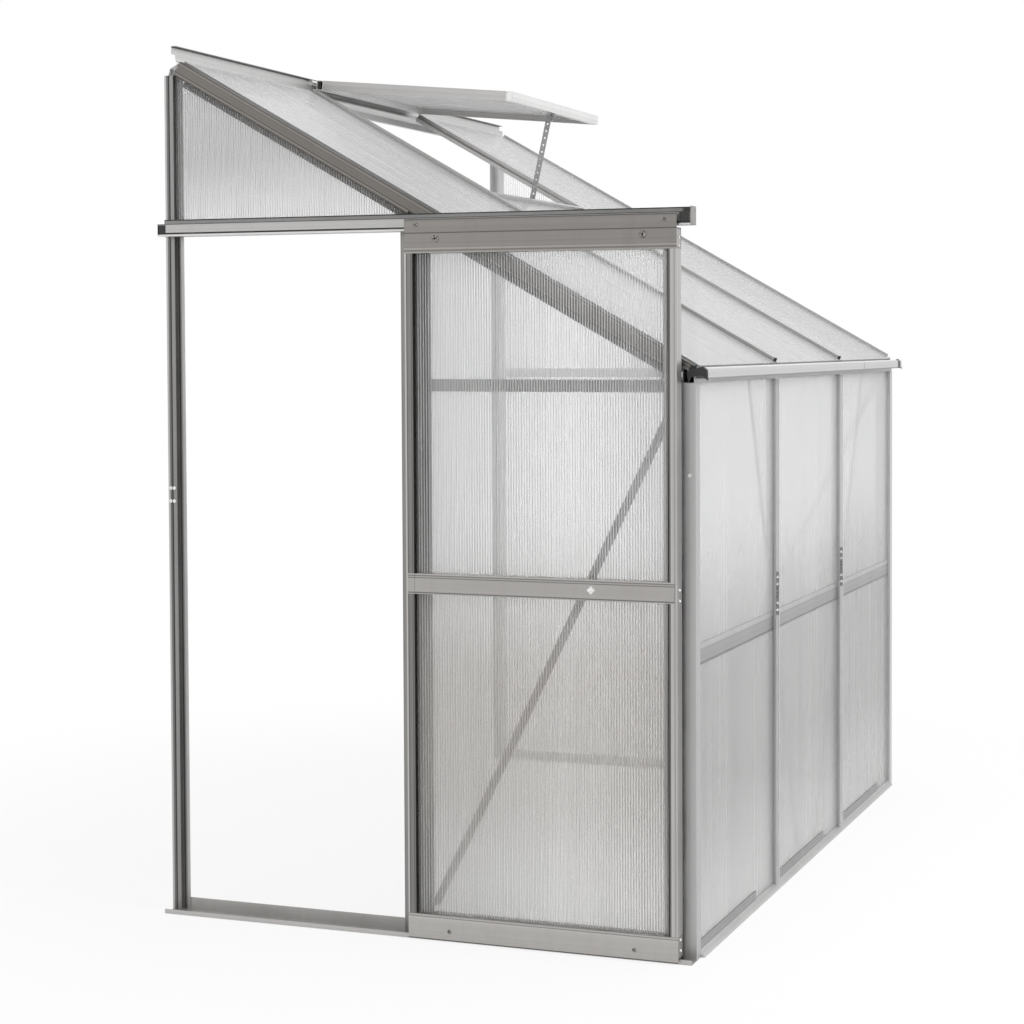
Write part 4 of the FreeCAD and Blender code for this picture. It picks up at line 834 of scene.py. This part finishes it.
# %% Webs
FLUTE = FLUTE_MM * MM
WEB = 0.5 * MM
SKIN_GAP = 0.2 * MM
LEVEL = Matrix.Identity(4)
TO_VENT = Matrix.Rotation(VENT_TILT, 4, "Y")
X_AXIS, Y_AXIS, Z_AXIS = 0, 1, 2
WEB_ROWS = (
    ("door_sheet_lower", "door", X_AXIS, Y_AXIS, LEVEL),
    ("door_sheet_upper", "door", X_AXIS, Y_AXIS, LEVEL),
    ("gable_sheet_fixed", "frame", X_AXIS, Y_AXIS, LEVEL),
    ("gable_sheet_triangle", "frame", X_AXIS, Y_AXIS, LEVEL),
    ("far_sheets_lower", "frame", X_AXIS, Y_AXIS, LEVEL),
    ("far_sheets_upper", "frame", X_AXIS, Y_AXIS, LEVEL),
    ("side_sheets_lower", "frame", Y_AXIS, X_AXIS, LEVEL),
    ("side_sheets_upper", "frame", Y_AXIS, X_AXIS, LEVEL),
    ("roof_sheets_end_bays", "frame", Y_AXIS, Z_AXIS, TO_ROOF),
    ("roof_sheet_below_vent", "frame", Y_AXIS, Z_AXIS, TO_ROOF),
    ("vent_sheet", "vent", Y_AXIS, Z_AXIS, TO_VENT),
)
CUT_BY_RAFTER = ("gable_sheet_fixed", "gable_sheet_triangle", "far_sheets_upper")
UP_FROM_ROOF = Vector((math.sin(PITCH), 0.0, math.cos(PITCH)))


def web_row(bm, low, high, across, through, turn):
    """A row of webs from low to high, side by side on one axis, inside the skins."""
    for number in range(1, int((high[across] - low[across]) / FLUTE)):
        near, far = low.copy(), high.copy()
        near[across] = low[across] + number * FLUTE - WEB / 2
        far[across] = near[across] + WEB
        near[through] += SKIN_GAP
        far[through] -= SKIN_GAP
        slab(bm, near, far, turn)


web_count = open_edges = 0
for name, body, across, through, turn in WEB_ROWS:
    bm = bmesh.new()
    for low, high in separate_boxes(name, turn):
        part_bm = bmesh.new()
        web_row(part_bm, low, high, across, through, turn)
        if name in CUT_BY_RAFTER:
            corner = Vector((low.x, 0.0, high.z - SKIN_GAP))
            cut = bmesh.ops.bisect_plane(part_bm, geom=part_bm.verts[:] + part_bm.edges[:]
                                         + part_bm.faces[:], plane_co=corner,
                                         plane_no=UP_FROM_ROOF, clear_outer=True)
            rims = [item for item in cut["geom_cut"] if isinstance(item, bmesh.types.BMEdge)]
            bmesh.ops.holes_fill(part_bm, edges=rims, sides=4)
        spare = bpy.data.meshes.new("spare")
        part_bm.to_mesh(spare)
        part_bm.free()
        bm.from_mesh(spare)
        bpy.data.meshes.remove(spare)
    web_count += len(bm.verts) // 8
    open_edges += sum(1 for edge in bm.edges if len(edge.link_faces) != 2)
    web_material = gable_web if across == X_AXIS else side_web
    if "far" in name:
        web_material = far_web
    if "roof" in name:
        web_material = roof_web
    as_piece(f"webs_{name}", bm, body, web_material)
print("webs:", web_count, "open edges:", open_edges)


# %% [markdown]
# ## Screw heads
#
# The door's screws are pan heads: low domes with a flat top above a short upright skirt.
# That is a turned shape, so half of its outline is spun round the screw's axis. Other bolts
# have a square head that stands on one of its corners, with a hollow middle. That is a
# four-sided cone, hardly tapered, whose top is inset.

# %% Shapes of the heads
FLAT_SHARE, SKIRT_SHARE = 0.45, 0.35
DOME_STEPS, SPIN_STEPS = 6, 20
TOP_SHARE, RIM_SHARE, HOLLOW_SHARE = 0.44, 0.13, 0.4
FACING_GABLE = Matrix.Identity(4)
FACING_GUTTER = Matrix.Rotation(QUARTER, 4, "Z")


def pan_head(bm, centre, radius, height):
    """A low dome that faces the door gable, spun from half of its outline."""
    outline = [bm.verts.new(centre + Vector((radius, 0.0, 0.0)))]
    for step in range(DOME_STEPS + 1):
        rise = QUARTER * step / DOME_STEPS
        out = radius * (FLAT_SHARE + (1 - FLAT_SHARE) * math.cos(rise))
        back = height * (SKIRT_SHARE + (1 - SKIRT_SHARE) * math.sin(rise))
        outline.append(bm.verts.new(centre + Vector((out, -back, 0.0))))
    outline.append(bm.verts.new(centre + Vector((0.0, -height, 0.0))))
    edges = [bm.edges.new(pair) for pair in zip(outline, outline[1:])]
    bmesh.ops.spin(bm, geom=outline + edges, cent=centre, axis=(0.0, 1.0, 0.0),
                   angle=math.tau, steps=SPIN_STEPS, use_merge=True)


def square_head(bm, centre, across, height, turn=FACING_GABLE):
    """A chamfered square head with a hollow middle, standing on its corner."""
    made = bmesh.ops.create_cone(
        bm, cap_ends=True, segments=4, radius1=across / 2, radius2=across * TOP_SHARE,
        depth=height, matrix=Matrix.Translation(centre) @ turn
        @ Matrix.Rotation(QUARTER, 4, "X"))
    outward = turn @ Vector((0.0, -1.0, 0.0))
    faces = {face for vert in made["verts"] for face in vert.link_faces}
    top = max(faces, key=lambda face: face.calc_center_median().dot(outward))
    bm.normal_update()
    bmesh.ops.inset_region(bm, faces=[top], thickness=across * RIM_SHARE,
                           depth=-height * HOLLOW_SHARE)


print("a pan head is spun in", SPIN_STEPS, "steps")


# %% [markdown]
# ## Dull steel for the screws
#
# The pan heads are darker and duller than the bolts. Blotches of near-black between patches
# of plain steel make them so, at a scale of a millimetre or two.

# %% Dull screw steel
DARK_BLOTCH, PLAIN_STEEL = (0.03, 0.028, 0.026, 1.0), (0.42, 0.40, 0.38, 1.0)
screw_steel, tree, shader = new_material("dull_screw_steel")
where = tree.nodes.new("ShaderNodeTexCoord").outputs["Object"]
dark_blotches = add(tree, "ShaderNodeTexNoise", Vector=where, Scale=520.0, Detail=3.0)
tree.links.new(blend_colour(tree, span(tree, dark_blotches.outputs["Fac"], 0.35, 0.65),
                            DARK_BLOTCH, PLAIN_STEEL), shader.inputs["Base Color"])
tree.links.new(span(tree, dark_blotches.outputs["Fac"], 0.3, 0.7, 0.16, 0.34),
               shader.inputs["Roughness"])
shader.inputs["Metallic"].default_value = 0.95
print("made", screw_steel.name)


# %% [markdown]
# ## Heads on the door
#
# Each plain screw that came in tells where a head sits and how large it is, and the new
# heads then stand for the plain ones. A pan head has a cross recess, and its shade is
# painted: two short bars of near-black, let in flush with the top, stand where the recess is
# a hollow in shade. The screw in the mid rail gets a square head instead.

# %% Heads on the door
DOOR_LEFT, DOOR_RIGHT = 604.0, 1209.0
DOOR_FACE = -44.0
MID_LOW, MID_TOP = 741.0, 784.0
CROSS_LONG, CROSS_THIN, CROSS_DEPTH = 0.42, 0.12, 0.4
SQUARE_TO_ROUND = 4.2
heads, recesses, squares = bmesh.new(), bmesh.new(), bmesh.new()
screw_boxes = separate_boxes("door_screws")
seat_y = at(0, DOOR_FACE, 0).y
for low, high in screw_boxes:
    radius = (high.x - low.x) / 2
    centre = Vector(((low.x + high.x) / 2, seat_y, (low.z + high.z) / 2))
    height = seat_y - low.y
    if MID_LOW < centre.z / MM < MID_TOP:
        square_head(squares, centre - Vector((0.0, height / 2, 0.0)),
                    SQUARE_TO_ROUND * radius, height)
        continue
    pan_head(heads, centre, radius, height)
    half, thin = radius * CROSS_LONG, radius * CROSS_THIN
    for size_x, size_z in ((half, thin), (thin, half)):
        reach = Vector((size_x, 0.0, size_z))
        slab(recesses, centre - reach - Vector((0.0, height, 0.0)),
             centre + reach - Vector((0.0, height * (1 - CROSS_DEPTH), 0.0)))
head_count = len(heads.faces)
bmesh.ops.remove_doubles(heads, verts=heads.verts, dist=1e-6)
screw_heads = as_piece("door_screw_heads", heads, "door", screw_steel)
# Painted shade: the recess bars are near-black solids flush with the head, standing for the
# shade in each hollow.
as_piece("door_screw_recess_shade", recesses, "door", black_plastic)
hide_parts("door_screws")
print("screw heads:", len(screw_boxes), "faces:", head_count)


# %% [markdown]
# ## Square heads on the stile and the corner post
#
# Seen from the side wall, two heads, pale with a painted highlight, hold each rail of the
# door to the right stile.
# They are turned to face the gutter. One more, a little larger, sits on the corner post at
# one metre, and faces the same way as the door.

# %% Square heads on the stile and the corner post
STILE_HEADS = (1485.0, 1468.0, 768.0, 746.0, 50.0, 28.0)
STILE_HEAD_Y, STILE_HEAD_SIZE, STILE_HEAD_DEEP = -29.0, 6.0, 1.6
POST_HEAD_Z, POST_HEAD_SIZE, POST_HEAD_DEEP = 1000.0, 9.0, 1.8
for z in STILE_HEADS:
    square_head(squares, at(DOOR_RIGHT + STILE_HEAD_DEEP / 2, STILE_HEAD_Y, z),
                STILE_HEAD_SIZE * MM, STILE_HEAD_DEEP * MM, FACING_GUTTER)
as_piece("door_square_heads", squares, "door", highlight_steel)
post_low, post_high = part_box("corner_post_door_end")
post_head = bmesh.new()
square_head(post_head, Vector(((at(DOOR_RIGHT, 0, 0).x + post_high.x) / 2,
                               post_low.y - POST_HEAD_DEEP / 2 * MM, POST_HEAD_Z * MM)),
            POST_HEAD_SIZE * MM, POST_HEAD_DEEP * MM)
as_piece("corner_post_head", post_head, "frame", highlight_steel)
print("square heads on the right stile:", len(STILE_HEADS))


# %% [markdown]
# ## Trim of the door and of its rail
#
# The mid rail is lapped over both stiles by a thin cover at each end, and the rail's end
# at the house wall is closed by a black moulded cap. Plugs close the ends of the door's
# header and bottom rail. All are pressed cubes with their edges rounded by a bevel, as
# real trim is never sharp.

# %% Trim of the door and the rail
def soften(bm, verts, radius):
    """Rounds the edges of a slab that has just been made."""
    edges = {edge for vert in verts for edge in vert.link_edges}
    bmesh.ops.bevel(bm, geom=list(edges), offset=radius * MM, affect="EDGES", segments=2,
                    profile=0.5, material=-1)


def rounded_plate(bm, low, high, radius):
    """A slab in tape-measure millimetres with softly rounded edges."""
    soften(bm, slab(bm, at(*low), at(*high)), radius)


STILE = 20.0
EDGE = 0.3
laps = bmesh.new()
for start, end in ((DOOR_LEFT + 4.0, DOOR_LEFT + STILE),
                   (DOOR_RIGHT - STILE, DOOR_RIGHT - 6.0)):
    rounded_plate(laps, (start, DOOR_FACE - 0.9, MID_LOW), (end, DOOR_FACE - 0.1, MID_TOP),
                  EDGE)
as_piece("door_mid_rail_laps", laps, "door", mid_level)

CAP_START, CAP_FRONT, CAP_LOW, CAP_TOP, CAP_EDGE = 0.4, -35.0, 1513.5, 1534.0, 0.4
cap = bmesh.new()
for end_x, end_y in ((20.0, -34.1), (3.4, -20.0)):
    rounded_plate(cap, (CAP_START, CAP_FRONT, CAP_LOW), (end_x, end_y, CAP_TOP), CAP_EDGE)
as_piece("door_rail_wall_cap", cap, "frame", black_plastic)

PLUG, PLUG_GAP, PLUG_FRONT, PLUG_BACK = 1.5, 0.2, -42.1, -15.9
HEADER_HOLLOW, FOOT_HOLLOW = (1463.3, 1502.3), (15.9, 56.1)
plugs = bmesh.new()
for start in (DOOR_LEFT + PLUG_GAP, DOOR_RIGHT - PLUG_GAP - PLUG):
    for low, top in (HEADER_HOLLOW, FOOT_HOLLOW):
        rounded_plate(plugs, (start, PLUG_FRONT, low), (start + PLUG, PLUG_BACK, top), EDGE)
as_piece("door_end_plugs", plugs, "door", mid_level)
print("trim made: laps, rail cap and door plugs")


# %% [markdown]
# ## Plugs of the vent's lower bar
#
# The vent's lower bar is a hollow length of tube, and without plugs one would look straight
# through it from the side. The plugs sit just inside its ends. The vent stands a little
# tilted, so they are measured and made in its own level frame and turned with it.

# %% Plugs of the vent's lower bar
TUBE_WALL = 1.9 * MM
vent_plugs = bmesh.new()
(low, high), = separate_boxes("vent_bottom_rail", TO_VENT)
for start in (low.y + PLUG_GAP * MM, high.y - (PLUG_GAP + PLUG) * MM):
    slab(vent_plugs, (low.x + TUBE_WALL, start, low.z + TUBE_WALL),
         (high.x - TUBE_WALL, start + PLUG * MM, high.z - TUBE_WALL), TO_VENT)
as_piece("vent_rail_plugs", vent_plugs, "vent", vent_level)
print("vent bar is", round(high.y - low.y, 3), "m long")


# %% [markdown]
# ## Ribs on the side bars
#
# Each bar of the side wall carries a thin rib that stands out from the glass, and halfway
# up a joint plate is bolted against it with four square heads. Seen along the wall the rib
# is as wide as the bar itself, so it is what makes the bars read as strong uprights. It is
# a pressed cube that keeps clear of the gutter above it and of the sill below it.

# %% Ribs on the side bars
RIB_OUT, RIB_BACK, RIB_THICK = 8.0, 6.6, 1.4
RIB_LOW, RIB_TOP = 14.0, 1186.0
PLATE_LOW, PLATE_TOP, PLATE_IN, PLATE_THICK = 640.0, 740.0, 0.6, 1.0
RIB_HEAD_SIZE, RIB_HEAD_DEEP = 7.6, 1.8
RIB_HEADS = (PLATE_LOW + 12, PLATE_LOW + 28, PLATE_TOP - 28, PLATE_TOP - 12)
ribs, rib_plates, rib_heads = bmesh.new(), bmesh.new(), bmesh.new()
for bar in ("side_bar_1", "side_bar_2"):
    low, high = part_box(bar)
    middle = (low.y + high.y) / 2 / MM - ORIGIN["y"] / MM
    out = high.x / MM - ORIGIN["x"] / MM
    near = middle - RIB_BACK
    plate_back = near - 0.1
    plate_front = plate_back - PLATE_THICK
    rounded_plate(ribs, (out + 0.05, near, RIB_LOW),
                  (out + RIB_OUT, near + RIB_THICK, RIB_TOP), EDGE)
    rounded_plate(rib_plates, (out + PLATE_IN, plate_front, PLATE_LOW),
                  (out + RIB_OUT - PLATE_IN, plate_back, PLATE_TOP), EDGE)
    for z in RIB_HEADS:
        square_head(rib_heads, at(out + RIB_OUT / 2, plate_front - RIB_HEAD_DEEP / 2, z),
                    RIB_HEAD_SIZE * MM, RIB_HEAD_DEEP * MM)
as_piece("side_bar_ribs", ribs, "frame", side_rib)
as_piece("side_rib_plates", rib_plates, "frame", dark_steel)
as_piece("side_rib_heads", rib_heads, "frame", highlight_steel)
print("ribs stand out by", RIB_OUT, "mm")


# %% [markdown]
# ## Lip of the far rafter
#
# The last rafter ends the roof, so beside the last sheet it has a low lip that keeps rain
# from running off the side. From the front only that lip shows behind the sheet. It is
# made level, turned with the slope of the roof, and its edges are rounded.

# %% Lip of the far rafter
LIP_Y, LIP_THICK, LIP_TOP, LIP_SHORT, LIP_EDGE = 1844.0, 3.0, 11.0, 2.0, 0.8
(low, high), = separate_boxes("rafter_far_end", TO_ROOF)
lip = bmesh.new()
lip_verts = slab(lip, (low.x + LIP_SHORT * MM, LIP_Y * MM, high.z),
                 (high.x - LIP_SHORT * MM, (LIP_Y + LIP_THICK) * MM, LIP_TOP * MM), TO_ROOF)
soften(lip, lip_verts, LIP_EDGE)
as_piece("far_rafter_lip", lip, "frame", roof_bar)
print("lip of", round(high.x - low.x, 3), "m on the far rafter")
